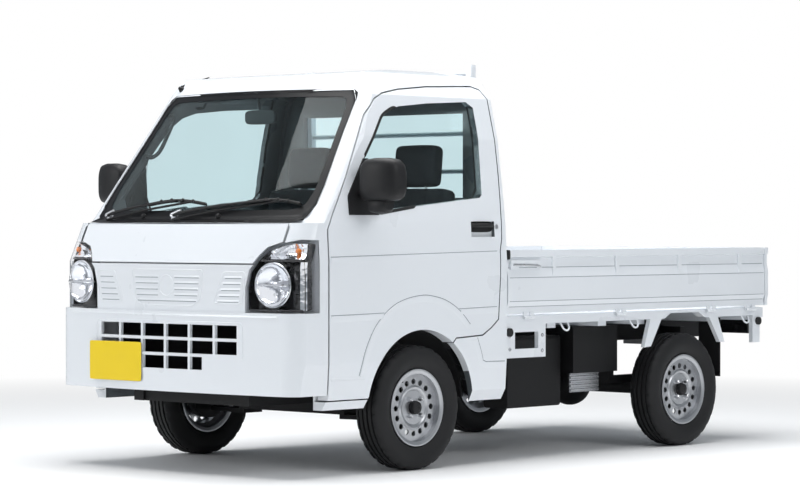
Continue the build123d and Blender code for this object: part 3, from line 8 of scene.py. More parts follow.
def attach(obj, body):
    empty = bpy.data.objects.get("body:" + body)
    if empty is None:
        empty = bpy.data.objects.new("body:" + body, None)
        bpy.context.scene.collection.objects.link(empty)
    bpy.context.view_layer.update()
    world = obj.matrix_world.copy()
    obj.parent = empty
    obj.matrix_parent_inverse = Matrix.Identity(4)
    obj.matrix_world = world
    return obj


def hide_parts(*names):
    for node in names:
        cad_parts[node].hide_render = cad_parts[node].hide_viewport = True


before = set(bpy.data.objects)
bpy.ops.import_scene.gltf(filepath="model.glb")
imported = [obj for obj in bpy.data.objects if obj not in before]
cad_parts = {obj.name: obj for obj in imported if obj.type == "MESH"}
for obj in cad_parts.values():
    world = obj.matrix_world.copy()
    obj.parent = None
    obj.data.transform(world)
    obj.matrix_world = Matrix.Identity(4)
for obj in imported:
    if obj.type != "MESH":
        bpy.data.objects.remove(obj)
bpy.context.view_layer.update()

# Camera at the photograph's angle
CAMERA_PLACE = (9.13186, -10.12621, 1.06348)
CAMERA_PITCH = math.radians(89.482)
CAMERA_TURN = math.radians(42.64)
CAMERA_LENS = 130.56


def make_camera():
    data = bpy.data.cameras.new("view")
    data.lens = CAMERA_LENS
    data.sensor_width = 36.0
    data.clip_end = 200.0
    camera = bpy.data.objects.new("view", data)
    camera.location = CAMERA_PLACE
    camera.rotation_euler = (CAMERA_PITCH, 0.0, CAMERA_TURN)
    bpy.context.scene.collection.objects.link(camera)
    bpy.context.scene.camera = camera


# Materials
class Nodes:
    """A new material's node tree, with short calls for the nodes that are used here."""

    def __init__(self, name):
        self.material = bpy.data.materials.new(name)
        self.material.use_nodes = True
        self.tree = self.material.node_tree
        self.shader = self.tree.nodes["Principled BSDF"]
        coordinates = self.tree.nodes.new("ShaderNodeTexCoord")
        self.place = coordinates.outputs["Object"]
        self.normal = coordinates.outputs["Normal"]

    def new(self, kind, **values):
        node = self.tree.nodes.new(kind)
        for key, value in values.items():
            if key in node.inputs:
                node.inputs[key].default_value = value
            else:
                setattr(node, key, value)
        return node

    def fix(self, values):
        for key, value in values.items():
            self.shader.inputs[key].default_value = value

    def link(self, source, target):
        self.tree.links.new(source, target)

    def noise(self, scale, detail):
        noise = self.new("ShaderNodeTexNoise", Scale=scale, Detail=detail)
        self.link(self.place, noise.inputs["Vector"])
        return noise.outputs["Fac"]

    def ramp(self, source, stops):
        ramp = self.new("ShaderNodeValToRGB")
        for element, (position, colour) in zip(ramp.color_ramp.elements, stops):
            element.position = position
            element.color = (*colour, 1.0)
        self.link(source, ramp.inputs["Fac"])
        return ramp.outputs["Color"]

    def bump(self, source, strength, distance):
        bump = self.new("ShaderNodeBump", Strength=strength, Distance=distance)
        self.link(source, bump.inputs["Height"])
        self.link(bump.outputs["Normal"], self.shader.inputs["Normal"])

    def lined(self, outside, inside, centre, bias):
        """Colours a shell by its side: inside where its normal looks towards the centre, else outside."""
        offset = self.new("ShaderNodeVectorMath", operation="SUBTRACT")
        self.link(self.place, offset.inputs[0])
        offset.inputs[1].default_value = centre
        facing = self.new("ShaderNodeVectorMath", operation="DOT_PRODUCT")
        self.link(self.normal, facing.inputs[0])
        self.link(offset.outputs["Vector"], facing.inputs[1])
        shifted = self.new("ShaderNodeMath", operation="ADD")
        self.link(facing.outputs["Value"], shifted.inputs[0])
        shifted.inputs[1].default_value = bias
        return self.ramp(shifted.outputs["Value"], [(0.0, inside), (0.002, outside)])


PATCH_SCALE = 3.0
RAMP_FROM = 0.3
RAMP_TO = 0.7
GLOSS_SPREAD = 0.12


def shade(colour, factor):
    return tuple(min(1.0, c * factor) for c in colour)


def surface(name, colour, roughness, metallic=0.0, coat=0.0, gleam=0.5, grain=400.0, relief=0.15,
            depth=0.0004, spread=0.06, lining=None):
    """A finish with slow colour variation, a fine grain in its relief and a varied gloss.

    lining gives a shell another colour on its inside.
    """
    m = Nodes(name)
    m.fix({"Metallic": metallic, "Coat Weight": coat, "Coat Roughness": 0.04, "IOR": 1.5,
           "Specular IOR Level": gleam})
    slow = m.noise(PATCH_SCALE, 4.0)
    if lining:
        tones = m.lined(colour, *lining)
    else:
        tones = m.ramp(slow, [(RAMP_FROM, shade(colour, 1.0 - spread)),
                              (RAMP_TO, shade(colour, 1.0 + spread))])
    m.link(tones, m.shader.inputs["Base Color"])
    low = max(0.02, roughness * (1.0 - GLOSS_SPREAD))
    high = min(1.0, roughness * (1.0 + GLOSS_SPREAD))
    m.link(m.ramp(slow, [(RAMP_FROM, (low,) * 3), (RAMP_TO, (high,) * 3)]), m.shader.inputs["Roughness"])
    m.bump(m.noise(grain, 2.0), relief, depth)
    return m.material


def body_paint(name, lining=None):
    return surface(name, PAINT_COLOUR, 0.3, coat=0.6, grain=900.0, relief=0.03, depth=0.0002, spread=0.008,
                   lining=lining)


def glass(name, colour, ior):
    m = Nodes(name)
    m.fix({"Transmission Weight": 1.0, "IOR": ior, "Roughness": 0.0})
    tones = m.ramp(m.noise(1.5, 2.0), [(RAMP_FROM, shade(colour, 0.99)), (RAMP_TO, colour)])
    m.link(tones, m.shader.inputs["Base Color"])
    return m.material


PAINT_COLOUR = (0.8, 0.83, 0.865)
PLATE_COLOUR = (0.86, 0.62, 0.004)
BLACK = (0.01, 0.01, 0.011)
RED = (0.42, 0.01, 0.012)

# Linings: the inside's colour and centre, and a bias, which above zero leaves more to the outside
CAB_LINING = ((0.11, 0.125, 0.135), (0.0, -0.85, 1.02), 0.0)
BUMPER_LINING = (BLACK, (0.0, -0.2, 0.5), 0.5)
PLATE_LINING = ((0.3, 0.3, 0.31), (0.0, 0.0, 0.5), -0.8)
TAIL_LINING = (BLACK, (0.0, -100.0, 0.56), -20.0)

PAINT = body_paint("body_paint")
SHELL = body_paint("body_paint_lined", CAB_LINING)
BUMPER = body_paint("body_paint_bumper", BUMPER_LINING)
CHASSIS = surface("chassis_black", (0.008, 0.008, 0.009), 0.55, gleam=0.3, grain=160.0, relief=0.35,
                  depth=0.0008, spread=0.3)
PLASTIC = surface("black_plastic", BLACK, 0.5, gleam=0.35, grain=1400.0, relief=0.35, spread=0.12)
BORDER = surface("glass_border", (0.005, 0.005, 0.006), 0.35, gleam=0.25, grain=500.0, relief=0.04,
                 spread=0.1)
INTERIOR = surface("interior_plastic", (0.035, 0.04, 0.044), 0.6, grain=1200.0, relief=0.4, spread=0.1)
SILVER = surface("wheel_silver", (0.46, 0.47, 0.49), 0.3, metallic=0.9, coat=0.2, grain=600.0, relief=0.1,
                 spread=0.05)
STEEL = surface("bright_steel", (0.55, 0.56, 0.58), 0.28, metallic=0.9, grain=300.0, spread=0.08)
RUBBER = surface("tyre_rubber", BLACK, 0.62, gleam=0.35, grain=500.0, relief=0.3, spread=0.2)
STOPPER = surface("stop_rubber", (0.01, 0.01, 0.01), 0.7, grain=300.0, relief=0.3, spread=0.2)
ENGINE = surface("engine_metal", (0.1, 0.1, 0.105), 0.5, metallic=0.6, grain=250.0, relief=0.4, spread=0.25)
YELLOW = surface("plate_yellow", PLATE_COLOUR, 0.35, grain=600.0, relief=0.05, lining=PLATE_LINING)
TAIL_RED = surface("tail_red", RED, 0.12, coat=0.6, grain=90.0, relief=0.3, lining=TAIL_LINING)
AMBER = surface("indicator_amber", (0.75, 0.2, 0.02), 0.2, coat=0.4, grain=200.0, relief=0.2, spread=0.08)
FABRIC = surface("seat_fabric", (0.022, 0.025, 0.029), 0.92, gleam=0.2, grain=1500.0, relief=0.8, spread=0.12)
REFLECTOR = surface("lamp_reflector", (0.86, 0.87, 0.89), 0.08, metallic=1.0, grain=45.0, relief=0.5,
                    depth=0.0015, spread=0.04)
MIRROR = surface("mirror_face", (0.78, 0.8, 0.82), 0.05, metallic=1.0, grain=300.0, relief=0.02, spread=0.02)
BEZEL = surface("lamp_bezel", (0.02, 0.02, 0.022), 0.25, coat=0.3, grain=700.0, relief=0.1, spread=0.1)
# Painted shadow: a dark grey for thin lines laid along creases, steps and edges where shade falls
SHADE_PAINT = surface("paint_shadow", (0.2, 0.23, 0.26), 0.5, grain=800.0, relief=0.1, spread=0.05)
CORE = surface("radiator_core", (0.004, 0.004, 0.005), 0.6, gleam=0.2, grain=900.0, relief=0.6, spread=0.3)
CLEAR = glass("glass", (0.76, 0.87, 0.89), 1.18)
LENS = glass("lamp_lens", (0.97, 0.98, 1.0), 1.12)

NODE_FINISH = {
    SHELL: ["cab_shell", "door_shell_left", "door_shell_right"],
    BUMPER: ["front_bumper"],
    PAINT: ["grille_panel", "bonnet", "bed_deck", "bed_front", "tail_gate",
            "side_gate_left", "side_gate_right"],
    CHASSIS: ["chassis_frame", "fuel_tank", "battery_box", "front_suspension", "rear_axle", "exhaust",
              "knuckle_left", "knuckle_right"],
    PLASTIC: ["cowl_and_wipers", "splash_guards", "door_fittings_left", "door_fittings_right"],
    INTERIOR: ["dashboard", "steering_wheel", "cab_fittings"],
    FABRIC: ["seats"],
    SILVER: ["rim_front_left", "rim_front_right", "rim_rear_left", "rim_rear_right"],
    RUBBER: ["tyre_front_left", "tyre_front_right", "tyre_rear_left", "tyre_rear_right"],
    STOPPER: ["gate_stops"],
    ENGINE: ["engine_block"],
    YELLOW: ["number_plates"],
    TAIL_RED: ["tail_lamps"],
    BEZEL: ["headlamp_housings"],
    LENS: ["headlamp_lenses"],
    CLEAR: ["cab_glass", "door_glass_left", "door_glass_right"],
}
SLOTS = {
    PAINT: "body_paint", SHADE_PAINT: "body_paint", PLASTIC: "black_plastic", BORDER: "black_plastic",
    STOPPER: "stop_rubber", STEEL: "wheel_silver", SILVER: "wheel_silver", INTERIOR: "interior_plastic",
    CORE: "chassis_black", YELLOW: "plate_yellow", TAIL_RED: "tail_red", BEZEL: "lamp_inner",
    REFLECTOR: "lamp_inner", AMBER: "lamp_inner", RUBBER: "tyre_rubber", MIRROR: "glass",
}


def dress_nodes():
    for material, names in NODE_FINISH.items():
        for name in names:
            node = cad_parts[name]
            node.data.materials.clear()
            node.data.materials.append(material)


# Places are in millimetres: x to the vehicle's left, s rearwards from the bumper, z up
MM = 0.001
NOSE = -1.6925
SIDES = (("left", 1), ("right", -1))
WHEELBASE = 1905.0


def at(x, s, z):
    return Vector((x * MM, NOSE + s * MM, z * MM))


# Surfaces of the CAD nodes, hit by straight lines that start outside the vehicle
AHEAD = -200
BEHIND = 3700
BESIDE = 1100
OVERHEAD = 2400
BACKWARDS = Vector((0, 1, 0))
FORWARDS = Vector((0, -1, 0))
DOWNWARDS = Vector((0, 0, -1))
NEAR_MISS = 600


def tree_of(*names):
    vertices, faces = [], []
    for name in names:
        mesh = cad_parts[name].data
        base = len(vertices)
        vertices += [v.co.copy() for v in mesh.vertices]
        faces += [[base + i for i in p.vertices] for p in mesh.polygons]
    return BVHTree.FromPolygons(vertices, faces)


def hit(tree, start, direction):
    """The first point that a line hits and its normal, or the nearest point where the line misses."""
    point, normal, _, _ = tree.ray_cast(start, direction)
    if point is None:
        point, normal, _, _ = tree.find_nearest(start + direction * NEAR_MISS * MM)
    if normal.dot(direction) > 0:
        normal = -normal
    return point, normal


def from_front(tree):
    return lambda x, z: hit(tree, at(x, AHEAD, z), BACKWARDS)


def from_behind(tree):
    return lambda x, z: hit(tree, at(x, BEHIND, z), FORWARDS)


def from_side(tree, side):
    return lambda s, z: hit(tree, at(side * BESIDE, s, z), Vector((-side, 0, 0)))


def from_above(tree):
    return lambda x, s: hit(tree, at(x, s, OVERHEAD), DOWNWARDS)


def proud_of(cast, a, b, height):
    """A place that stands so many millimetres proud of a surface."""
    point, normal = cast(a, b)
    return point + normal * height * MM


def follow(rows, cast, step, closed=False):
    """Points and normals on a surface along a polyline that is given in the view of its cast."""
    ends = list(rows) + ([rows[0]] if closed else [])
    found = []
    for (a, b), (c, d) in zip(ends, ends[1:]):
        count = max(1, round(math.hypot(c - a, d - b) / step))
        found += [cast(a + (c - a) * k / count, b + (d - b) * k / count) for k in range(count)]
    if not closed:
        found.append(cast(*ends[-1]))
    return [p for p, _ in found], [n for _, n in found]


def soft_corners(rows, radius, closed=True):
    """A polyline with each corner eased over a radius."""
    count = len(rows)
    eased = []
    for i, row in enumerate(rows):
        corner = Vector(row)
        if not closed and i in (0, count - 1):
            eased.append(tuple(corner))
            continue
        before, after = Vector(rows[i - 1]), Vector(rows[(i + 1) % count])
        start = corner + (before - corner).normalized() * min(radius, (before - corner).length / 2)
        end = corner + (after - corner).normalized() * min(radius, (after - corner).length / 2)
        for t in (0.0, 0.25, 0.5, 0.75, 1.0):
            eased.append(tuple(start * (1 - t) ** 2 + corner * 2 * t * (1 - t) + end * t ** 2))
    return eased


def smooth_path(points, steps=6):
    """A curve through the points."""
    out = []
    for i in range(len(points) - 1):
        p0 = points[max(i - 1, 0)]
        p1, p2 = points[i], points[i + 1]
        p3 = points[min(i + 2, len(points) - 1)]
        for k in range(steps):
            t = k / steps
            out.append(0.5 * (2 * p1 + (p2 - p0) * t + (2 * p0 - 5 * p1 + 4 * p2 - p3) * t ** 2
                              + (3 * p1 - p0 - 3 * p2 + p3) * t ** 3))
    out.append(points[-1])
    return out


def oval(centre, half, power, count):
    """A closed outline between an ellipse (power 2) and a rectangle (a high power)."""
    rows = []
    for k in range(count):
        angle = 2 * math.pi * k / count
        c, s = math.cos(angle), math.sin(angle)
        rows.append((centre[0] + half[0] * math.copysign(abs(c) ** (2 / power), c),
                     centre[1] + half[1] * math.copysign(abs(s) ** (2 / power), s)))
    return rows


def in_steps(rows, step):
    """A polyline cut into steps of about the given length, measured in its rows' first two columns."""
    out = []
    for a, b in zip(rows, rows[1:]):
        count = max(1, round(math.hypot(b[0] - a[0], b[1] - a[1]) / step))
        out += [tuple(u + (v - u) * k / count for u, v in zip(a, b)) for k in range(count)]
    out.append(rows[-1])
    return out


# A bolt's washer and head as (along, radius) in shares of its size
WASHER = [(0, 1.5), (0.2, 1.5), (0.25, 1.4)]
BOLT_HEAD = [(0, 1), (0.8, 1), (1, 0.85), (1.02, 0.4)]


class Shape:
    """Vertices and faces of one piece, added to by sweeps, skins, turned forms and lofts."""

    def __init__(self):
        self.vertices = []
        self.faces = []

    def rings(self, rings, wrap=True, loop=False, first=True, last=True):
        """Joins rings of as many points.

        wrap closes each ring, loop joins the last ring to the first, first and last cap the ends.
        """
        base, width, count = len(self.vertices), len(rings[0]), len(rings)
        for ring in rings:
            self.vertices += ring
        for i in range(count if loop else count - 1):
            for k in range(width if wrap else width - 1):
                a, b = base + i * width, base + (i + 1) % count * width
                j = (k + 1) % width
                self.faces.append((a + k, a + j, b + j, b + k))
        if wrap and first and not loop:
            self.faces.append(tuple(base + k for k in reversed(range(width))))
        if wrap and last and not loop:
            self.faces.append(tuple(base + (count - 1) * width + k for k in range(width)))

    def strip(self, path, normals, profile, closed=False):
        """Sweeps a section of (across, proud) millimetres along a path on a surface."""
        count, rings = len(path), []
        for i, (point, normal) in enumerate(zip(path, normals)):
            before = path[i - 1] if closed or i else point
            after = path[(i + 1) % count] if closed or i < count - 1 else point
            side = normal.cross((after - before).normalized()).normalized()
            rings.append([point + side * across * MM + normal * proud * MM for across, proud in profile])
        self.rings(rings, loop=closed)

    def trace(self, rows, cast, step, profile, closed=False):
        """Sweeps a section along a polyline that is laid on a surface."""
        self.strip(*follow(rows, cast, step, closed), profile, closed)

    def tube(self, path, radius, sides=10):
        """Sweeps a round section along a path. radius may be one number or one for each point."""
        rings, up = [], Vector((0.31, 0.17, 0.93))
        for i, point in enumerate(path):
            ahead = (path[min(i + 1, len(path) - 1)] - path[max(i - 1, 0)]).normalized()
            a = ahead.cross(up).normalized()
            b = ahead.cross(a)
            r = (radius[i] if isinstance(radius, list) else radius) * MM
            rings.append([point + (a * math.cos(t) + b * math.sin(t)) * r
                          for t in (2 * math.pi * k / sides for k in range(sides))])
        self.rings(rings)

    def skin(self, outer, inner, cast, proud, across, closed=True, thick=0.8):
        """Lays a thin skin on a surface between two outlines of as many points."""
        rings = []
        for (a, b), (c, d) in zip(outer, inner):
            row = [cast(a + (c - a) * k / across, b + (d - b) * k / across) for k in range(across + 1)]
            top = [p + n * proud * MM for p, n in row]
            rings.append(top + [p + n * (proud - thick) * MM for p, n in reversed(row)])
        self.rings(rings, loop=closed)

    def turned(self, centre, axis, profile, steps, vary=None, **ends):
        """Turns a profile of (along, radius) millimetres round an axis through the centre."""
        axis = Vector(axis).normalized()
        a = axis.orthogonal().normalized()
        b = axis.cross(a)
        rings = []
        for row, (along, radius) in enumerate(profile):
            ring = []
            for k in range(steps):
                angle = 2 * math.pi * k / steps
                r = radius + (vary(row, k) if vary else 0.0)
                ring.append(centre + axis * along * MM + (a * math.cos(angle) + b * math.sin(angle)) * r * MM)
            rings.append(ring)
        self.rings(rings, **ends)

    def stud(self, cast, spot, proud, profile, steps):
        """Turns a profile round the normal of a surface, at a spot in the view of its cast."""
        point, normal = cast(*spot)
        self.turned(point + normal * proud * MM, normal, profile, steps)

    def bolt(self, centre, axis, size):
        """A hexagon head with an eased edge on a washer."""
        for profile, steps in ((WASHER, 20), (BOLT_HEAD, 6)):
            self.turned(centre, axis, [(along * size, radius * size) for along, radius in profile], steps)

    def done(self, name, material, body="truck", slot=None, angle=38.0):
        """Makes the piece, which rides on its body. A slot is looked up from its material where none is
        given, but nothing uses it.
        """
        data = bpy.data.meshes.new(name)
        data.from_pydata([tuple(v) for v in self.vertices], [], self.faces)
        shape = bmesh.new()
        shape.from_mesh(data)
        bmesh.ops.recalc_face_normals(shape, faces=shape.faces)
        shape.to_mesh(data)
        shape.free()
        data.shade_smooth()
        data.set_sharp_from_angle(angle=math.radians(angle))
        data.materials.append(material)
        obj = bpy.data.objects.new(name, data)
        bpy.context.scene.collection.objects.link(obj)
        slot = slot or SLOTS[material]
        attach(obj, body)
        return obj


# Sections of swept trims, in (across, proud) millimetres
RAISED = [(-3.5, -0.6), (-2.6, 1.4), (-1.0, 2.0), (1.0, 2.0), (2.6, 1.4), (3.5, -0.6)]
SLAT = [(-4.5, -0.6), (-3.8, 2.6), (-2.0, 2.8), (5.5, -0.4)]
HAIR = [(-1.2, -0.4), (-1.2, 0.35), (1.2, 0.35), (1.2, -0.4)]
GASKET = [(-7.0, -0.5), (-6.0, 1.6), (-2.0, 2.4), (2.0, 2.4), (6.0, 1.6), (7.0, -0.5)]
WEDGE = [(14, -0.4), (12.5, 2.6), (9, 3.0), (-15, -0.3)]
LIP = [(6, -0.3), (4, 1.4), (-4, 1.4), (-6, -0.3)]
FLARE = [(-16, -0.3), (9, 3.2), (12, 2.8), (14, -0.4)]
FLARE_EDGE = [(14.2, -0.4), (14.2, 0.4), (17.2, 0.4), (17.2, -0.4)]
ROOF_RIDGE = [(-8.0, -0.5), (-5.0, 0.8), (5.0, 0.8), (8.0, -0.5)]
LAMP_RIM = [(-3, -1), (-2, 2), (2, 2), (3, -1)]


def flip(profile, side):
    """A section turned over for the other side, so that its steep edge stays on the same side of the line."""
    return profile if side > 0 else [(-a, b) for a, b in reversed(profile)]


# Windscreen border: half outline as outer x, outer z, inner x, inner z
SCREEN_BORDER = [
    (0, 1067.5, 0, 1120),
    (300, 1067.5, 300, 1120),
    (570, 1067.5, 545, 1122),
    (626, 1070, 590, 1130),
    (652, 1098, 606, 1148),
    (664, 1150, 614, 1192),
    (657, 1228, 612, 1240),
    (636, 1341, 594, 1345),
    (614, 1456, 574, 1456),
    (596, 1593, 558, 1556),
    (583, 1626, 540, 1598),
    (556, 1643, 514, 1609),
    (300, 1645, 300, 1612),
    (0, 1646, 0, 1613),
]
GLASS_LOW = 1112.0
GLASS_NEXT = 1180.0
GLASS_SIDE = 610.0
LIP_TOP = 1082.0
LIP_FRONT = 60.0
LIP_RISES = (-9.0, -6.0, -3.0, 0.0, 3.0, 6.0)
SHELL_TREE = tree_of("cab_shell")
SHELL_FRONT = from_front(SHELL_TREE)
GLASS_FRONT = from_front(tree_of("cab_glass"))
CAB_FRONT = from_front(tree_of("cab_shell", "cab_glass"))


def screen_cast(x, z):
    """The windscreen's face, carried on straight down below the glass, and never behind the cab shell."""
    if z >= GLASS_LOW:
        return CAB_FRONT(x, z)
    inner = max(-GLASS_SIDE, min(GLASS_SIDE, x))
    low, normal = GLASS_FRONT(inner, GLASS_LOW)
    high, _ = GLASS_FRONT(inner, GLASS_NEXT)
    point = low + (low - high) * (GLASS_LOW - z) / (GLASS_NEXT - GLASS_LOW)
    point.x = x * MM
    if z < LIP_TOP:
        for rise in LIP_RISES:
            shell, _ = SHELL_FRONT(x, z + rise)
            point.y = min(point.y, max(shell.y, NOSE + LIP_FRONT * MM))
    return point, normal


def make_screen_border():
    half = in_steps(SCREEN_BORDER, 24.0)
    rows = half + [(-a, b, -c, d) for a, b, c, d in reversed(half[1:-1])]
    border = Shape()
    border.skin([(a, b) for a, b, _, _ in rows], [(c, d) for _, _, c, d in rows], screen_cast, 1.2, 5)
    border.done("windscreen_border", BORDER)


# Wipers: x of each pivot, then where its blade starts and ends
WIPER_ROWS = [(-545, -275, 95), (-60, 300, 590)]
BLADE_LOW = 1140.0
BLADE_RISE = 16.0
BLADE_STEPS = 20
BLADE = [(-3, 3), (-5, 9), (-6, 17), (0, 20), (6, 17), (5, 9), (3, 3)]
CLIP = [(0, 8), (8, 8), (10, 6)]
CLIP_SHARES = (0.22, 0.4, 0.6, 0.78)
PIVOT = [(0, 17), (10, 17), (16, 12), (26, 11), (29, 7)]
JET = [(0, 13), (6, 13), (12, 9), (16, 8), (18, 4)]
JET_SPOTS = ((-285, 1092), (195, 1092))


def blade_spot(start, end, share):
    return start + (end - start) * share, BLADE_LOW + BLADE_RISE * math.sin(math.pi * share)


def make_wipers():
    arms, blades, pivots, jets = Shape(), Shape(), Shape(), Shape()
    for pivot, start, end in WIPER_ROWS:
        middle = (start + end) / 2
        spots = [(pivot, 1084, 26), (pivot + 60, 1098, 27), ((pivot + middle) / 2, 1126, 25),
                 (middle, 1150, 23)]
        path = smooth_path([proud_of(screen_cast, *spot) for spot in spots])
        arms.tube(path, [8.0 - 4.0 * i / len(path) for i in range(len(path))])
        line = [blade_spot(start, end, k / BLADE_STEPS) for k in range(BLADE_STEPS + 1)]
        blades.trace(line, screen_cast, 12.0, BLADE)
        for share in CLIP_SHARES:
            blades.stud(screen_cast, blade_spot(start, end, share), 14, CLIP, 12)
        pivots.stud(screen_cast, (pivot, 1086), 6, PIVOT, 24)
        ends = ((pivot, 1086), (pivot + 46, 1104))
        pivots.tube([proud_of(screen_cast, x, z, 33) for x, z in ends], 5.5)
    for spot in JET_SPOTS:
        jets.stud(screen_cast, spot, 0, JET, 18)
    arms.done("wiper_arms", PLASTIC)
    blades.done("wiper_blades", STOPPER)
    pivots.done("wiper_pivots", STEEL)
    jets.done("washer_jets", PLASTIC)


# Nose panel: outlines of its louvre fields, heights of their slats, and the bare ring's place and size
LOUVRE_FIELDS = [
    [(-221, 868), (221, 868), (204, 742), (160, 716), (-160, 716), (-204, 742)],
    [(342, 862), (462, 862), (442, 730), (286, 730)],
    [(-342, 862), (-462, 862), (-442, 730), (-286, 730)],
]
SLAT_HEIGHTS = [840, 815, 789, 764, 740]
SLAT_INSET = 16
SHADOW_DROP = 6
RING_CENTRE = (0, 800)
RING_HALF = (44, 44)
RING_ROOM = 50.0


def field_span(rows, z):
    """Lowest and highest x of an outline at a height."""
    crossings = []
    for (a, b), (c, d) in zip(rows, rows[1:] + rows[:1]):
        if (b - z) * (d - z) < 0:
            crossings.append(a + (c - a) * (z - b) / (d - b))
    return (min(crossings), max(crossings)) if len(crossings) > 1 else None


def make_grille():
    cast = from_front(tree_of("grille_panel"))
    frames, slats, shadows = Shape(), Shape(), Shape()
    for rows in LOUVRE_FIELDS:
        frames.trace(soft_corners(rows, 16.0), cast, 10.0, RAISED, closed=True)
        for z in SLAT_HEIGHTS:
            span = field_span(rows, z)
            if not span:
                continue
            low, high = span[0] + SLAT_INSET, span[1] - SLAT_INSET
            parts = [(low, high)]
            if low < 0 < high and abs(z - RING_CENTRE[1]) < RING_ROOM:
                parts = [(low, -RING_ROOM), (RING_ROOM, high)]
            for start, end in parts:
                slats.trace([(start, z), (end, z)], cast, 14.0, SLAT)
                shadows.trace([(start + 2, z - SHADOW_DROP), (end - 2, z - SHADOW_DROP)], cast, 14.0, HAIR)
    frames.trace(oval(RING_CENTRE, RING_HALF, 2.0, 48), cast, 8.0, RAISED, closed=True)
    frames.done("grille_frames", PAINT)
    slats.done("grille_slats", PAINT)
    shadows.done("grille_shadows", SHADE_PAINT)


# Bumper: its creases, the radiator behind its openings and the rolled edge of the front plate
BUMPER_CREASE = [(-640, 676), (640, 676)]
OPENING_FRAME = [(-455, 497), (-455, 648), (455, 648), (455, 497)]
CORE_LOW = 430.0
CORE_HIGH = 645.0
CORE_BACK = 92.0
CORE_HALF = 560
CORE_STEP = 40
CORE_SWEEP = 40
CORE_SWEEP_AT = 440
FINS = 42
PLATE_CENTRE = (-311, 469.5)
PLATE_HALF = (165, 82.5)
PLATE_ROLL = [(-0.5, -4.8), (1.6, -4.4), (2.2, -3.2), (1.6, -2.0), (-0.5, -2.2)]


def core_bar(core, section):
    """Carries a section of (setback, z) across the radiator, which sweeps back towards its sides."""
    rings = []
    for x in range(-CORE_HALF, CORE_HALF + 1, CORE_STEP):
        back = CORE_BACK + CORE_SWEEP * (x / CORE_SWEEP_AT) ** 2
        rings.append([at(x, back + s, z) for s, z in section])
    core.rings(rings)


def make_bumper_trim():
    cast = from_front(tree_of("front_bumper"))
    trim, core, plate = Shape(), Shape(), Shape()
    trim.trace(BUMPER_CREASE, cast, 20.0, SLAT)
    trim.trace(soft_corners(OPENING_FRAME, 22.0, closed=False), cast, 12.0, RAISED)
    trim.done("bumper_creases", PAINT)
    for k in range(FINS):
        z = CORE_LOW + (CORE_HIGH - CORE_LOW) * k / FINS
        core_bar(core, [(0, z), (-5, z + 2.4), (0, z + 4.8), (4, z + 2.4)])
    core_bar(core, [(10, CORE_LOW - 10), (10, CORE_HIGH), (18, CORE_HIGH), (18, CORE_LOW - 10)])
    core.done("radiator_core", CORE)
    rings = []
    for grow, s in PLATE_ROLL:
        edge = oval(PLATE_CENTRE, (PLATE_HALF[0] + grow, PLATE_HALF[1] + grow), 26.0, 96)
        rings.append([at(x, s, z) for x, z in edge])
    plate.rings(rings, loop=True)
    plate.done("plate_rolled_edge", YELLOW)


# Headlamp: outline of the left lamp as x and z, and its inner forms with depths behind the lens
LAMP_EDGE = [(474, 700), (474, 800), (492, 862), (516, 892), (538, 926), (566, 952), (634, 974), (690, 986),
             (722, 984), (727, 850), (727, 700)]
LAMP_CENTRE = (612.0, 838.0)
LAMP_BACK = 186.0
CUP = [(0.985, 9), (0.975, 34), (0.95, 62), (0.9, 66), (0.5, 70), (0.05, 70)]
BOWL_CENTRE = (600.0, 808.0)
BOWL = [(2, 96), (0, 94), (0, 89), (10, 85), (26, 68), (40, 46), (50, 24), (52, 14)]
BULB = [(0, 8), (1, 14), (30, 15), (36, 10)]
BULB_BAR = 84
UPPER_START = 528
UPPER_LOW = 916
UPPER_FOOT = 926
UPPER_RISE = 54
UPPER_WIDTH = 150
UPPER_SECTION = [(0.0, 12), (0.2, 30), (0.5, 40), (0.8, 32), (1.0, 14)]
FLUTES = 32
FLUTE_STEP = 6.1
FLUTE_DEPTH = 4.0
INDICATOR = [(0, 4), (3, 10), (14, 12), (22, 8)]
OUTER_SECTION = [(712, 16), (718, 12), (724, 10), (726, 20), (712, 24)]
LAMP_BARS = [(500, 906, 914, 20), (480, 696, 708, 24)]
LENS_FRONT = from_front(tree_of("headlamp_lenses"))


def behind_lens(side):
    """Places in a lamp, so deep behind its lens and never behind the lamp's back."""
    def place(x, z, depth):
        face, _ = LENS_FRONT(side * x, z)
        return at(side * x, min((face.y - NOSE) / MM + depth, LAMP_BACK), z)
    return place


def make_lamp_cup(word, place):
    cup = Shape()
    rows = in_steps(LAMP_EDGE + LAMP_EDGE[:1], 16.0)[:-1]
    rings = []
    for scale, depth in CUP:
        rings.append([place(*(c + (a - c) * scale for a, c in zip(row, LAMP_CENTRE)), depth) for row in rows])
    cup.rings(rings, first=False)
    return cup.done("lamp_cup_" + word, BEZEL)


def make_lamp_bowl(word, side, place):
    bowl, bulb = Shape(), Shape()
    centre = place(*BOWL_CENTRE, 12)
    back = Vector((-side * 0.12, 1, 0)).normalized()
    bowl.turned(centre, back, BOWL, 64, first=False)
    bowl.done("lamp_bowl_" + word, REFLECTOR)
    bulb.turned(centre + back * 18 * MM, back, BULB, 24)
    bulb.tube([centre + Vector((reach, 4, 0)) * MM for reach in (-BULB_BAR, BULB_BAR)], 5.0, 8)
    bulb.done("lamp_bulb_" + word, STEEL, slot="lamp_inner")


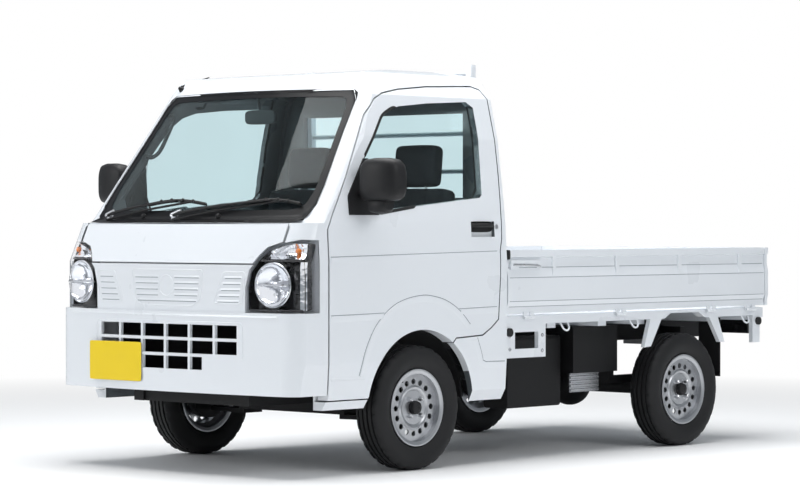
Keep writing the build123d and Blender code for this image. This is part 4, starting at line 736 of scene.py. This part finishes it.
def make_lamp_upper(word, place):
    """A fluted reflector that follows the lamp's top edge, and the indicator in it."""
    upper, indicator = Shape(), Shape()
    columns = []
    for k in range(FLUTES):
        along = k * FLUTE_STEP
        top = UPPER_FOOT + UPPER_RISE * math.sin(min(1.0, along / UPPER_WIDTH) * math.pi / 2)
        flute = FLUTE_DEPTH * math.sin(k * math.pi / 2) ** 2
        columns.append([place(UPPER_START + along, UPPER_LOW + (top - UPPER_LOW) * share, depth + flute)
                        for share, depth in UPPER_SECTION])
    upper.rings(columns, wrap=False)
    upper.done("lamp_upper_" + word, REFLECTOR)
    indicator.turned(place(690, 950, 14), BACKWARDS, INDICATOR, 20)
    indicator.done("lamp_indicator_" + word, AMBER)


def make_lamp_edges(word, place):
    """A bright strip up the lamp's outer side, and dark bars over and under the bowl."""
    outer, bars = Shape(), Shape()
    outer.rings([[place(x, z, depth) for x, depth in OUTER_SECTION] for z in range(704, 905, 20)])
    outer.done("lamp_outer_" + word, REFLECTOR)
    for start, low, high, back in LAMP_BARS:
        section = [(low, 8), (high, 8), (high, back), (low, back)]
        bars.rings([[place(x, z, depth) for z, depth in section] for x in range(start, 721, 20)])
    bars.done("lamp_bars_" + word, BEZEL)


def make_headlamps():
    for word, side in SIDES:
        place = behind_lens(side)
        make_lamp_cup(word, place)
        make_lamp_bowl(word, side, place)
        make_lamp_upper(word, place)
        make_lamp_edges(word, place)
    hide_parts("headlamp_housings")


# Side creases and the painted shadow line over each: rows of s and z, on the doors and on the shell behind
# them
DOOR_CREASES = ([(258, 909), (1345, 928)], [(258, 664), (580, 669)], [(1075, 677), (1340, 682)])
CREASE_SHADOWS = ([(258, 924.5), (1345, 943.5)], [(258, 679.5), (585, 684.5)], [(1062, 692), (1340, 697.5)])
DOOR_FOOT = [(262, 412), (470, 412)]
ARCH_FLARE = [(447, 418), (486, 530), (548, 625), (630, 690), (715, 724), (823, 740), (900, 734), (980, 714),
              (1060, 672), (1128, 612)]
ARCH_TAIL = [(1172, 556), (1196, 500), (1212, 452), (1240, 440), (1372, 438)]
WINDOW = [(497, 1336), (652, 1530), (724, 1564), (1214, 1600), (1256, 1562), (1212, 1192), (560, 1106)]


def make_side_trim():
    arch = [tuple(v) for v in smooth_path([Vector(row) for row in ARCH_FLARE])]
    for word, side in SIDES:
        door = from_side(tree_of("door_shell_" + word), side)
        shell = from_side(SHELL_TREE, side)
        creases, shadows, tail, tail_shade_line, flare, gasket = (Shape() for _ in range(6))
        for rows in DOOR_CREASES:
            creases.trace(rows, door, 24.0, flip(WEDGE, side))
        creases.trace(DOOR_FOOT, door, 20.0, LIP)
        creases.done("door_creases_" + word, PAINT, "door_" + word)
        # Painted shadow lines over the creases and along the arch flare's edge
        for rows in CREASE_SHADOWS:
            shadows.trace(rows, door, 24.0, HAIR)
        shadows.trace(arch, door, 16.0, flip(FLARE_EDGE, side))
        shadows.done("door_shadow_lines_" + word, SHADE_PAINT, "door_" + word)
        tail.trace(ARCH_TAIL, shell, 14.0, flip(FLARE, side))
        tail.done("arch_tail_" + word, PAINT)
        # A painted shadow line along the arch tail's edge
        tail_shade_line.trace(ARCH_TAIL, shell, 14.0, flip(FLARE_EDGE, side))
        tail_shade_line.done("arch_tail_shadow_" + word, SHADE_PAINT)
        flare.trace(arch, door, 16.0, flip(FLARE, side))
        flare.done("arch_flare_" + word, PAINT, "door_" + word)
        gasket.trace(soft_corners(WINDOW, 24.0), door, 12.0, GASKET, closed=True)
        gasket.done("window_gasket_" + word, STOPPER, "door_" + word)


# Mirror head and lower lobe as sections: x, s from and to, z from and to
MIRROR_HEAD = [
    (746, 428, 468, 1188, 1288),
    (756, 412, 488, 1168, 1318),
    (775, 406, 500, 1160, 1334),
    (820, 406, 510, 1157, 1340),
    (870, 414, 518, 1157, 1340),
    (905, 426, 522, 1160, 1334),
    (922, 438, 520, 1170, 1320),
    (931, 452, 514, 1188, 1298),
    (934, 468, 504, 1212, 1270),
]
MIRROR_LOBE = [
    (782, 436, 490, 1122, 1168),
    (790, 426, 500, 1110, 1172),
    (830, 424, 506, 1104, 1174),
    (862, 430, 506, 1108, 1172),
    (874, 440, 498, 1122, 1166),
]
MIRROR_ARM = [(716, 470, 1185), (738, 458, 1190), (762, 450, 1198)]
MIRROR_FACE = (842, 1248)
MIRROR_FACE_HALF = (72, 80)
SAIL_X = 722.0
SAIL_FOOT = 1112.0
SAIL_LEAN = 0.125
SAIL_FRONT = 380
SAIL_BACK = 560
SAIL_BEND = 1180
HANDLE_CENTRE = (1230, 1050)
HANDLE_HALF = (78, 24)
GRIP_HEIGHT = 1056
GRIP = [(1156, 2), (1164, 12), (1190, 20), (1230, 22), (1270, 20), (1296, 12), (1304, 2)]
LOCK = [(0, 11), (2, 11), (3, 8), (2.4, 3)]
LOCK_SPOT = (1322, 1050)


def sail_plane(side):
    """The plane of the window's front corner, leaning in as the door does."""
    normal = Vector((side, 0, SAIL_LEAN)).normalized()
    return lambda s, z: (at(side * (SAIL_X - (z - SAIL_FOOT) * SAIL_LEAN), s, z), normal)


def make_mirror(word, side):
    body = Shape()
    for sections, power in ((MIRROR_HEAD, 3.6), (MIRROR_LOBE, 2.6)):
        rings = []
        for x, s0, s1, z0, z1 in sections:
            rows = oval(((s0 + s1) / 2, (z0 + z1) / 2), ((s1 - s0) / 2, (z1 - z0) / 2), power, 40)
            rings.append([at(side * x, s, z) for s, z in rows])
        body.rings(rings)
    heights = range(1100, 1345, 12)
    front = [(SAIL_FRONT + max(0, z - SAIL_BEND) * 0.72, z) for z in heights]
    back = [(SAIL_BACK - (z - SAIL_FOOT) * 0.16, z) for z in heights]
    body.skin(front, back, sail_plane(side), 7.0, 8, closed=False, thick=9.0)
    body.tube([at(side * x, s, z) for x, s, z in MIRROR_ARM], [26.0, 20.0, 22.0], 18)
    shell = body.done("mirror_" + word, PLASTIC, "door_" + word)
    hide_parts("door_fittings_" + word)


def make_mirror_glass(word, side):
    face = Shape()
    middle, height = MIRROR_FACE
    rings = []
    for scale, proud in ((1.0, 0.0), (0.99, 4.0), (0.96, 5.0), (0.02, 5.0)):
        ring = []
        for x, z in oval(MIRROR_FACE, MIRROR_FACE_HALF, 4.5, 48):
            rear = 509 + (x - 770) * 0.09
            across = side * (middle + (x - middle) * scale)
            ring.append(at(across, rear + proud, height + (z - height) * scale))
        rings.append(ring)
    face.rings(rings)
    face.done("mirror_glass_" + word, MIRROR, "door_" + word)


def make_handle(word, door):
    handle, lock = Shape(), Shape()
    pocket = oval(HANDLE_CENTRE, HANDLE_HALF, 5.0, 48)
    middle = [tuple(c + (a - c) * 0.1 for a, c in zip(row, HANDLE_CENTRE)) for row in pocket]
    handle.skin(pocket, middle, door, 1.4, 3)
    handle.tube(smooth_path([proud_of(door, s, GRIP_HEIGHT, proud) for s, proud in GRIP]), 9.0, 12)
    handle.done("door_handle_" + word, PLASTIC, "door_" + word)
    lock.stud(door, LOCK_SPOT, 0, LOCK, 24)
    lock.done("door_lock_" + word, STEEL, "door_" + word)


def make_mirrors_and_handles():
    for word, side in SIDES:
        make_mirror(word, side)
        make_mirror_glass(word, side)
        make_handle(word, from_side(tree_of("door_shell_" + word, "door_glass_" + word), side))


# Wheels: s of each axle and x of its wheels' middle planes, a tyre's half section as x and radius
FRONT_AXLE = 822.0
WHEELS = {"front": (FRONT_AXLE, 652.5), "rear": (FRONT_AXLE + WHEELBASE, 645.0)}
WHEEL_HEIGHT = 270.0
TREAD_STEPS = 120
TYRE_HALF = [(-48, 166), (-56, 172), (-64, 184), (-70, 204), (-72.2, 220), (-71, 236), (-67, 250), (-61, 259),
             (-55, 265), (-50, 268), (-42, 269.2), (-41, 261.5), (-34, 261.5), (-33, 269.7), (-18, 269.9),
             (-17, 262), (-9, 262), (-8, 269.9), (0, 269.9)]
TYRE_INSIDE = [(40, 170), (-40, 170)]
LUG_ROWS = {7: 2.5, 8: 5.0, 9: 5.5, 10: 5.5}
LUG_EVERY = 4
GROOVE_ROWS = (13, 14)
GROOVE_EVERY = 6
GROOVE_DEPTH = 2.0
CREST = [(-3, 70), (3, 76), (7, 83), (7.5, 88), (4, 93), (-3, 98)]
CREST_CIRCLE = 85
NUT = [(-2, 15), (2, 14), (3, 11), (18, 11), (22, 9), (27, 6), (28, 3)]
NUT_CIRCLE = 50
NUTS = 4
CAP = [(-4, 30), (10, 30), (24, 27), (29, 20), (30, 8), (28, 6)]
CAP_CIRCLE = 36
VALVE_CIRCLE = 140
VALVE_ANGLE = 2.2


def tyre_shape(centre):
    profile = TYRE_HALF + [(-x, r) for x, r in reversed(TYRE_HALF[:-1])]
    last = len(profile) - 1

    def vary(row, k):
        near = row < len(TYRE_HALF)
        mirrored = row if near else last - row
        if mirrored in LUG_ROWS and k % LUG_EVERY == (0 if near else LUG_EVERY // 2):
            return -LUG_ROWS[mirrored]
        if mirrored in GROOVE_ROWS and k % GROOVE_EVERY == 0:
            return -GROOVE_DEPTH
        return 0.0

    shape = Shape()
    shape.turned(centre, (1, 0, 0), profile + TYRE_INSIDE, TREAD_STEPS, vary, loop=True)
    return shape


def on_circle(angle, radius):
    return Vector((0, math.cos(angle), math.sin(angle))) * radius * MM


def disc_face(tree, centre, out, radius, angle=0.4):
    """How far the disc's outer face stands out of the wheel's middle plane."""
    point, _ = hit(tree, centre + out * 0.3 + on_circle(angle, radius), -out)
    return (point - centre).dot(out) / MM


def seated(profile, seat):
    """A profile moved along its axis to its seat."""
    return [(seat + along, radius) for along, radius in profile]


def make_wheel(name, body, centre, out):
    tyre = tyre_shape(centre).done("tyre_tread_" + name, RUBBER, body, angle=30.0)
    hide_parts("tyre_" + name)
    tree = tree_of("rim_" + name)
    crest, nuts, cap, valve = Shape(), Shape(), Shape(), Shape()
    crest.turned(centre, out, seated(CREST, disc_face(tree, centre, out, CREST_CIRCLE)), 72)
    crest.done("wheel_crest_" + name, SILVER, body)
    for k in range(NUTS):
        angle = math.pi / NUTS + k * 2 * math.pi / NUTS
        seat = disc_face(tree, centre, out, NUT_CIRCLE, angle + 0.32)
        nuts.turned(centre + on_circle(angle, NUT_CIRCLE), out, seated(NUT, seat), 6)
    nuts.done("wheel_nuts_" + name, STEEL, body)
    cap.turned(centre, out, seated(CAP, disc_face(tree, centre, out, CAP_CIRCLE)), 40)
    cap.done("wheel_cap_" + name, PLASTIC, body)
    spot = centre + on_circle(VALVE_ANGLE, VALVE_CIRCLE)
    seat = disc_face(tree, centre, out, VALVE_CIRCLE, VALVE_ANGLE)
    valve.tube([spot + out * (seat + reach) * MM for reach in (-6, 14)], [4.0, 3.0])
    valve.done("wheel_valve_" + name, STOPPER, body)


def make_wheels():
    for place, (setback, middle) in WHEELS.items():
        for word, side in SIDES:
            centre = at(side * middle, setback, WHEEL_HEIGHT)
            make_wheel(place + "_" + word, place + "_wheel_" + word, centre, Vector((side, 0, 0)))


# Bed: rope hooks, bracket bolts, floor ribs, and each side gate's latch, painted shadow lines along its
# creases, and end cap
HOOK_STATIONS = [1820.0, 2330.0, 3215.0]
HOOK = [(700, -26, 618), (712, -26, 604), (722, -18, 584), (724, 0, 577), (722, 18, 584), (712, 26, 604),
        (700, 26, 618)]
BRACKET_BOLTS = ((1434, 501), (1434, 560), (1660, 560), (1660, 490))
BRACKET_FACE = 600
RIB_MIDDLES = range(-560, 561, 160)
RIB_SECTION = [(-22, 651.4), (-16, 653.0), (16, 653.0), (22, 651.4)]
RIB_STATIONS = (1460, 1480, 3300, 3320)
LATCH = [(1432, 880, 3), (1450, 880, 4.5), (1540, 878, 4.5), (1606, 874, 4.5), (1618, 868, 3)]
LATCH_REACH = 735.0
LATCH_BOLTS = ((1440, 880), (1596, 880))
GATE_CREASE_SHADOWS = (867, 822, 716, 692)
GATE_FROM = 1412
GATE_TO = 3345
GATE_TOP = (720, 925)
END_CAP = [(1398.6, 13, 19), (1399.2, 15.5, 21.5), (1411, 15.8, 21.8), (1412, 14, 20)]


def make_bed_trim():
    hooks, bolts, ribs = Shape(), Shape(), Shape()
    deck = tree_of("bed_deck")
    for _, side in SIDES:
        for station in HOOK_STATIONS:
            hooks.tube(smooth_path([at(side * x, station + shift, z) for x, shift, z in HOOK]), 4.5)
        for spot in BRACKET_BOLTS:
            point, normal = from_side(deck, side)(*spot)
            if abs(point.x) > BRACKET_FACE * MM:
                bolts.bolt(point, normal, 6.0)
    for middle in RIB_MIDDLES:
        ribs.rings([[at(middle + across, s, z) for across, z in RIB_SECTION] for s in RIB_STATIONS])
    hooks.done("rope_hooks", PAINT)
    bolts.done("bracket_bolts", STEEL)
    ribs.done("floor_ribs", PAINT)


def make_gate_trim():
    for word, side in SIDES:
        latch, lines, cap = Shape(), Shape(), Shape()
        body = "side_gate_" + word
        gate = from_side(tree_of(body), side)
        path = []
        for s, z, proud in LATCH:
            point, _ = gate(s, z)
            path.append(at(side * min(abs(point.x) / MM + proud, LATCH_REACH), s, z))
        latch.tube(smooth_path(path), 5.5, 12)
        for spot in LATCH_BOLTS:
            point, _ = gate(*spot)
            latch.bolt(point, Vector((side, 0, 0)), 3.0)
        latch.done("gate_latch_" + word, STEEL, body)
        # Painted shadow lines along the gate's creases
        for z in GATE_CREASE_SHADOWS:
            lines.trace([(GATE_FROM, z), (GATE_TO, z)], gate, 60.0, HAIR)
        lines.done("gate_crease_shadows_" + word, SHADE_PAINT, body)
        cap.rings([[at(side * x, s, z) for x, z in oval(GATE_TOP, half, 5.0, 24)] for s, *half in END_CAP])
        cap.done("gate_end_cap_" + word, STOPPER, body)


# Cab: room mirror as scale and s, grab handle, antenna and roof seams; the bracket below the bed
ROOM_MIRROR = [(0.9, 566), (0.98, 568), (1.0, 574), (0.99, 584), (0.9, 592), (0.6, 596)]
ROOM_MIRROR_BOW = 1.8
MIRROR_STEM = [(0, 574, 1560), (0, 566, 1600), (0, 571, 1640), (0, 580, 1668)]
GRAB_HANDLE = [(-612, 452, 1372), (-585, 462, 1362), (-562, 492, 1392), (-552, 545, 1490), (-556, 572, 1538),
               (-572, 580, 1556), (-592, 566, 1548)]
ANTENNA_SPOT = (-545, 610)
ANTENNA_BASE = [(0, 15), (6, 14), (14, 9), (20, 6)]
ANTENNA_ROD = [(0, -2, 14), (0, 60, 34), (0, 170, 62)]
ROOF_SEAM = [(548, 640), (556, 1000), (556, 1360)]
BRACKET_X = 520
BRACKET_RIB = [(0, 0), (6, 3), (6, 12), (0, 15)]
BRACKET_STATIONS = (2092, 2110, 2280, 2300)
BRACKET_BACK = [(514, 274), (521, 274), (521, 366), (514, 366)]


def make_cab_trim():
    room, grab = Shape(), Shape()
    rings = []
    for scale, s in ROOM_MIRROR:
        rows = oval((0, 1533), (94 * scale, 32 * scale), 4.5, 56)
        rings.append([at(x, s + ROOM_MIRROR_BOW * (x / 95) ** 2, z) for x, z in rows])
    room.rings(rings)
    room.tube(smooth_path([at(*spot) for spot in MIRROR_STEM]), 7.0)
    mirror = room.done("room_mirror", INTERIOR)
    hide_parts("cab_fittings")
    grab.tube(smooth_path([at(*spot) for spot in GRAB_HANDLE]), 9.0, 12)
    grab.done("grab_handle", INTERIOR)


def make_roof_trim():
    antenna, seams = Shape(), Shape()
    roof = from_above(SHELL_TREE)
    foot, _ = roof(*ANTENNA_SPOT)
    antenna.stud(roof, ANTENNA_SPOT, -2, ANTENNA_BASE, 24)
    antenna.tube([foot + Vector(reach) * MM for reach in ANTENNA_ROD], [5.0, 3.4, 3.0])
    antenna.done("antenna", PLASTIC)
    for _, side in SIDES:
        seams.trace([(side * x, s) for x, s in ROOF_SEAM], roof, 30.0, ROOF_RIDGE)
    seams.done("roof_seams", PAINT)


def make_side_bracket():
    bracket = Shape()
    for low in range(276, 364, 20):
        bracket.rings([[at(BRACKET_X + a, s, low + b) for a, b in BRACKET_RIB] for s in BRACKET_STATIONS])
    bracket.rings([[at(x, s, z) for x, z in BRACKET_BACK] for s in (2089, 2196, 2303)])
    bracket.done("side_bracket", STEEL)


# Tail lamps: ribs on each lens and a bezel round it
TAIL_X = 575
TAIL_HEIGHT = 560
TAIL_HALF = (70, 36)
TAIL_RIB_HALF = 63
TAIL_RIB_STEP = 12


def make_tail_trim():
    bezel, ribs = Shape(), Shape()
    rear = from_behind(tree_of("tail_lamps", "bed_deck"))
    for _, side in SIDES:
        edge = oval((side * TAIL_X, TAIL_HEIGHT), TAIL_HALF, 10.0, 64)
        bezel.trace(edge, rear, 10.0, LAMP_RIM, closed=True)
        for k in range(-2, 3):
            z = TAIL_HEIGHT + k * TAIL_RIB_STEP
            line = [(side * (TAIL_X - TAIL_RIB_HALF), z), (side * (TAIL_X + TAIL_RIB_HALF), z)]
            ribs.trace(line, rear, 20.0, HAIR)
    bezel.done("tail_lamp_bezels", BEZEL, slot="black_plastic")
    ribs.done("tail_lamp_ribs", TAIL_RED)


# Seats: padded pieces as centre, size and lean, pinned along two seams while they swell
SEAT_X = 337
PADS = {
    "cushion": ((SEAT_X, 890, 700), (448, 470, 96), 0.0),
    "back": ((SEAT_X, 1178, 985), (436, 96, 470), -0.16),
    "headrest": ((SEAT_X, 1238, 1322), (246, 80, 186), -0.1),
}
PAD_VOXEL = 10.0
PAD_BEVEL = 30.0
SEAM_OFFSET = 118.0
SEAM_REACH = 6.2
PRESSURE = 4.0
SIM_FRAMES = 20
MOST_SWELL = 24.0
POST_SHIFT = 60


def pad_mesh(name, centre, size, lean):
    shape = bmesh.new()
    bmesh.ops.create_cube(shape, size=1.0)
    for vertex in shape.verts:
        vertex.co = Vector([c * d * MM for c, d in zip(vertex.co, size)])
    bmesh.ops.bevel(shape, geom=shape.edges[:], offset=PAD_BEVEL * MM, segments=4, profile=0.6,
                    affect="EDGES")
    data = bpy.data.meshes.new(name)
    shape.to_mesh(data)
    shape.free()
    obj = bpy.data.objects.new(name, data)
    bpy.context.scene.collection.objects.link(obj)
    remesh = obj.modifiers.new("remesh", "REMESH")
    remesh.mode = "VOXEL"
    remesh.voxel_size = PAD_VOXEL * MM
    obj.data = bpy.data.meshes.new_from_object(obj.evaluated_get(bpy.context.evaluated_depsgraph_get()))
    obj.modifiers.clear()
    seam = [v.index for v in obj.data.vertices if abs(abs(v.co.x) - SEAM_OFFSET * MM) < SEAM_REACH * MM]
    cosine, sine = math.cos(lean), math.sin(lean)
    for vertex in obj.data.vertices:
        x, y, z = vertex.co
        vertex.co = Vector((x, y * cosine - z * sine, y * sine + z * cosine)) + at(*centre)
    pins = obj.vertex_groups.new(name="pins")
    pins.add(seam, 1.0, "REPLACE")
    return obj


def swell(pads):
    """Presses the pads out by a cloth simulation, each point by no more than a limit."""
    starts = {pad.name: [v.co.copy() for v in pad.data.vertices] for pad in pads}
    for pad in pads:
        cloth = pad.modifiers.new("cloth", "CLOTH")
        cloth.settings.use_pressure = True
        cloth.settings.uniform_pressure_force = PRESSURE
        cloth.settings.vertex_group_mass = "pins"
        cloth.settings.effector_weights.gravity = 0.0
        cloth.settings.quality = 4
        cloth.point_cache.frame_start = 1
        cloth.point_cache.frame_end = SIM_FRAMES
    for number in range(1, SIM_FRAMES + 1):
        bpy.context.scene.frame_set(number)
    depsgraph = bpy.context.evaluated_depsgraph_get()
    swollen = {pad.name: [v.co.copy() for v in pad.evaluated_get(depsgraph).data.vertices] for pad in pads}
    for pad in pads:
        pad.modifiers.clear()
        for vertex, start, end in zip(pad.data.vertices, starts[pad.name], swollen[pad.name]):
            move = end - start
            if move.length > MOST_SWELL * MM:
                move = move.normalized() * MOST_SWELL * MM
            vertex.co = start + move
    bpy.context.scene.frame_set(1)


def make_seats():
    pads = []
    for word, side in SIDES:
        for kind, ((x, s, z), size, lean) in PADS.items():
            pads.append(pad_mesh("seat_" + kind + "_" + word, (side * x, s, z), size, lean))
    swell(pads)
    for pad in pads:
        pad.vertex_groups.clear()
        pad.data.shade_smooth()
        pad.data.materials.clear()
        pad.data.materials.append(FABRIC)
        smooth = pad.modifiers.new("smooth", "SUBSURF")
        smooth.levels = 1
        smooth.render_levels = 1
        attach(pad, "truck")
    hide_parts("seats")
    posts = Shape()
    for _, side in SIDES:
        for shift in (-POST_SHIFT, POST_SHIFT):
            x = side * SEAT_X + shift
            posts.tube([at(x, 1215, 1190), at(x, 1232, 1260)], 6.0, 12)
    posts.done("headrest_posts", STEEL)


# Stage and light
WHITE = (1.0, 1.0, 1.0, 1.0)
FLOOR_GREY = (0.9, 0.9, 0.9, 1.0)
SKY = (0.86, 0.93, 1.0, 1.0)
SKY_STRENGTH = 0.34
FLOOR_HALF = 60.0
FADE_FROM = 2.6
FADE_TO = 7.0


def make_stage():
    """A floor that takes the shadow and, to the camera alone, fades to white away from the truck."""
    data = bpy.data.meshes.new("floor")
    corners = [(x * FLOOR_HALF, y * FLOOR_HALF, 0) for x, y in ((-1, -1), (1, -1), (1, 1), (-1, 1))]
    data.from_pydata(corners, [], [(0, 1, 2, 3)])
    floor = bpy.data.objects.new("floor", data)
    bpy.context.scene.collection.objects.link(floor)
    m = Nodes("floor")
    m.fix({"Roughness": 0.6, "Base Color": FLOOR_GREY})
    length = m.new("ShaderNodeVectorMath", operation="LENGTH")
    m.link(m.place, length.inputs[0])
    far = m.new("ShaderNodeMapRange")
    far.inputs["From Min"].default_value = FADE_FROM
    far.inputs["From Max"].default_value = FADE_TO
    m.link(length.outputs["Value"], far.inputs["Value"])
    path = m.new("ShaderNodeLightPath")
    seen = m.new("ShaderNodeMath", operation="MULTIPLY")
    m.link(far.outputs["Result"], seen.inputs[0])
    m.link(path.outputs["Is Camera Ray"], seen.inputs[1])
    glow = m.new("ShaderNodeEmission", Color=WHITE)
    mix = m.new("ShaderNodeMixShader")
    m.link(seen.outputs["Value"], mix.inputs["Fac"])
    m.link(m.shader.outputs["BSDF"], mix.inputs[1])
    m.link(glow.outputs["Emission"], mix.inputs[2])
    m.link(mix.outputs["Shader"], m.tree.nodes["Material Output"].inputs["Surface"])
    data.materials.append(m.material)


def make_world():
    """A soft sky for the light, which the camera sees as white."""
    world = bpy.data.worlds.new("studio")
    bpy.context.scene.world = world
    world.use_nodes = True
    tree = world.node_tree
    tree.nodes.clear()
    path = tree.nodes.new("ShaderNodeLightPath")
    shows = tree.nodes.new("ShaderNodeMath")
    shows.operation = "MAXIMUM"
    tree.links.new(path.outputs["Is Camera Ray"], shows.inputs[0])
    tree.links.new(path.outputs["Is Transmission Ray"], shows.inputs[1])
    soft = tree.nodes.new("ShaderNodeBackground")
    soft.inputs["Color"].default_value = SKY
    soft.inputs["Strength"].default_value = SKY_STRENGTH
    white = tree.nodes.new("ShaderNodeBackground")
    white.inputs["Color"].default_value = WHITE
    mix = tree.nodes.new("ShaderNodeMixShader")
    output = tree.nodes.new("ShaderNodeOutputWorld")
    tree.links.new(shows.outputs["Value"], mix.inputs["Fac"])
    tree.links.new(soft.outputs["Background"], mix.inputs[1])
    tree.links.new(white.outputs["Background"], mix.inputs[2])
    tree.links.new(mix.outputs["Shader"], output.inputs["Surface"])


def make_light(name, place, aim, size, power):
    data = bpy.data.lights.new(name, "AREA")
    data.shape = "RECTANGLE"
    data.size, data.size_y = size
    data.energy = power
    light = bpy.data.objects.new(name, data)
    light.location = place
    light.rotation_euler = (Vector(aim) - Vector(place)).to_track_quat("-Z", "Y").to_euler()
    bpy.context.scene.collection.objects.link(light)


def make_lights():
    make_light("overhead", (0.0, -0.5, 5.5), (0.0, 0.0, 0.0), (4.5, 5.5), 420.0)
    make_light("side", (7.0, -0.5, 4.5), (0.0, 0.3, 0.9), (4.0, 3.0), 120.0)
    make_light("front", (-3.5, -7.5, 3.2), (0.0, -1.0, 0.8), (4.0, 3.0), 150.0)


make_camera()
make_stage()
make_world()
make_lights()
dress_nodes()
make_screen_border()
make_wipers()
make_grille()
make_bumper_trim()
make_headlamps()
make_side_trim()
make_mirrors_and_handles()
make_wheels()
make_bed_trim()
make_gate_trim()
make_cab_trim()
make_roof_trim()
make_side_bracket()
make_tail_trim()
make_seats()
bpy.context.scene.view_settings.view_transform = "Standard"
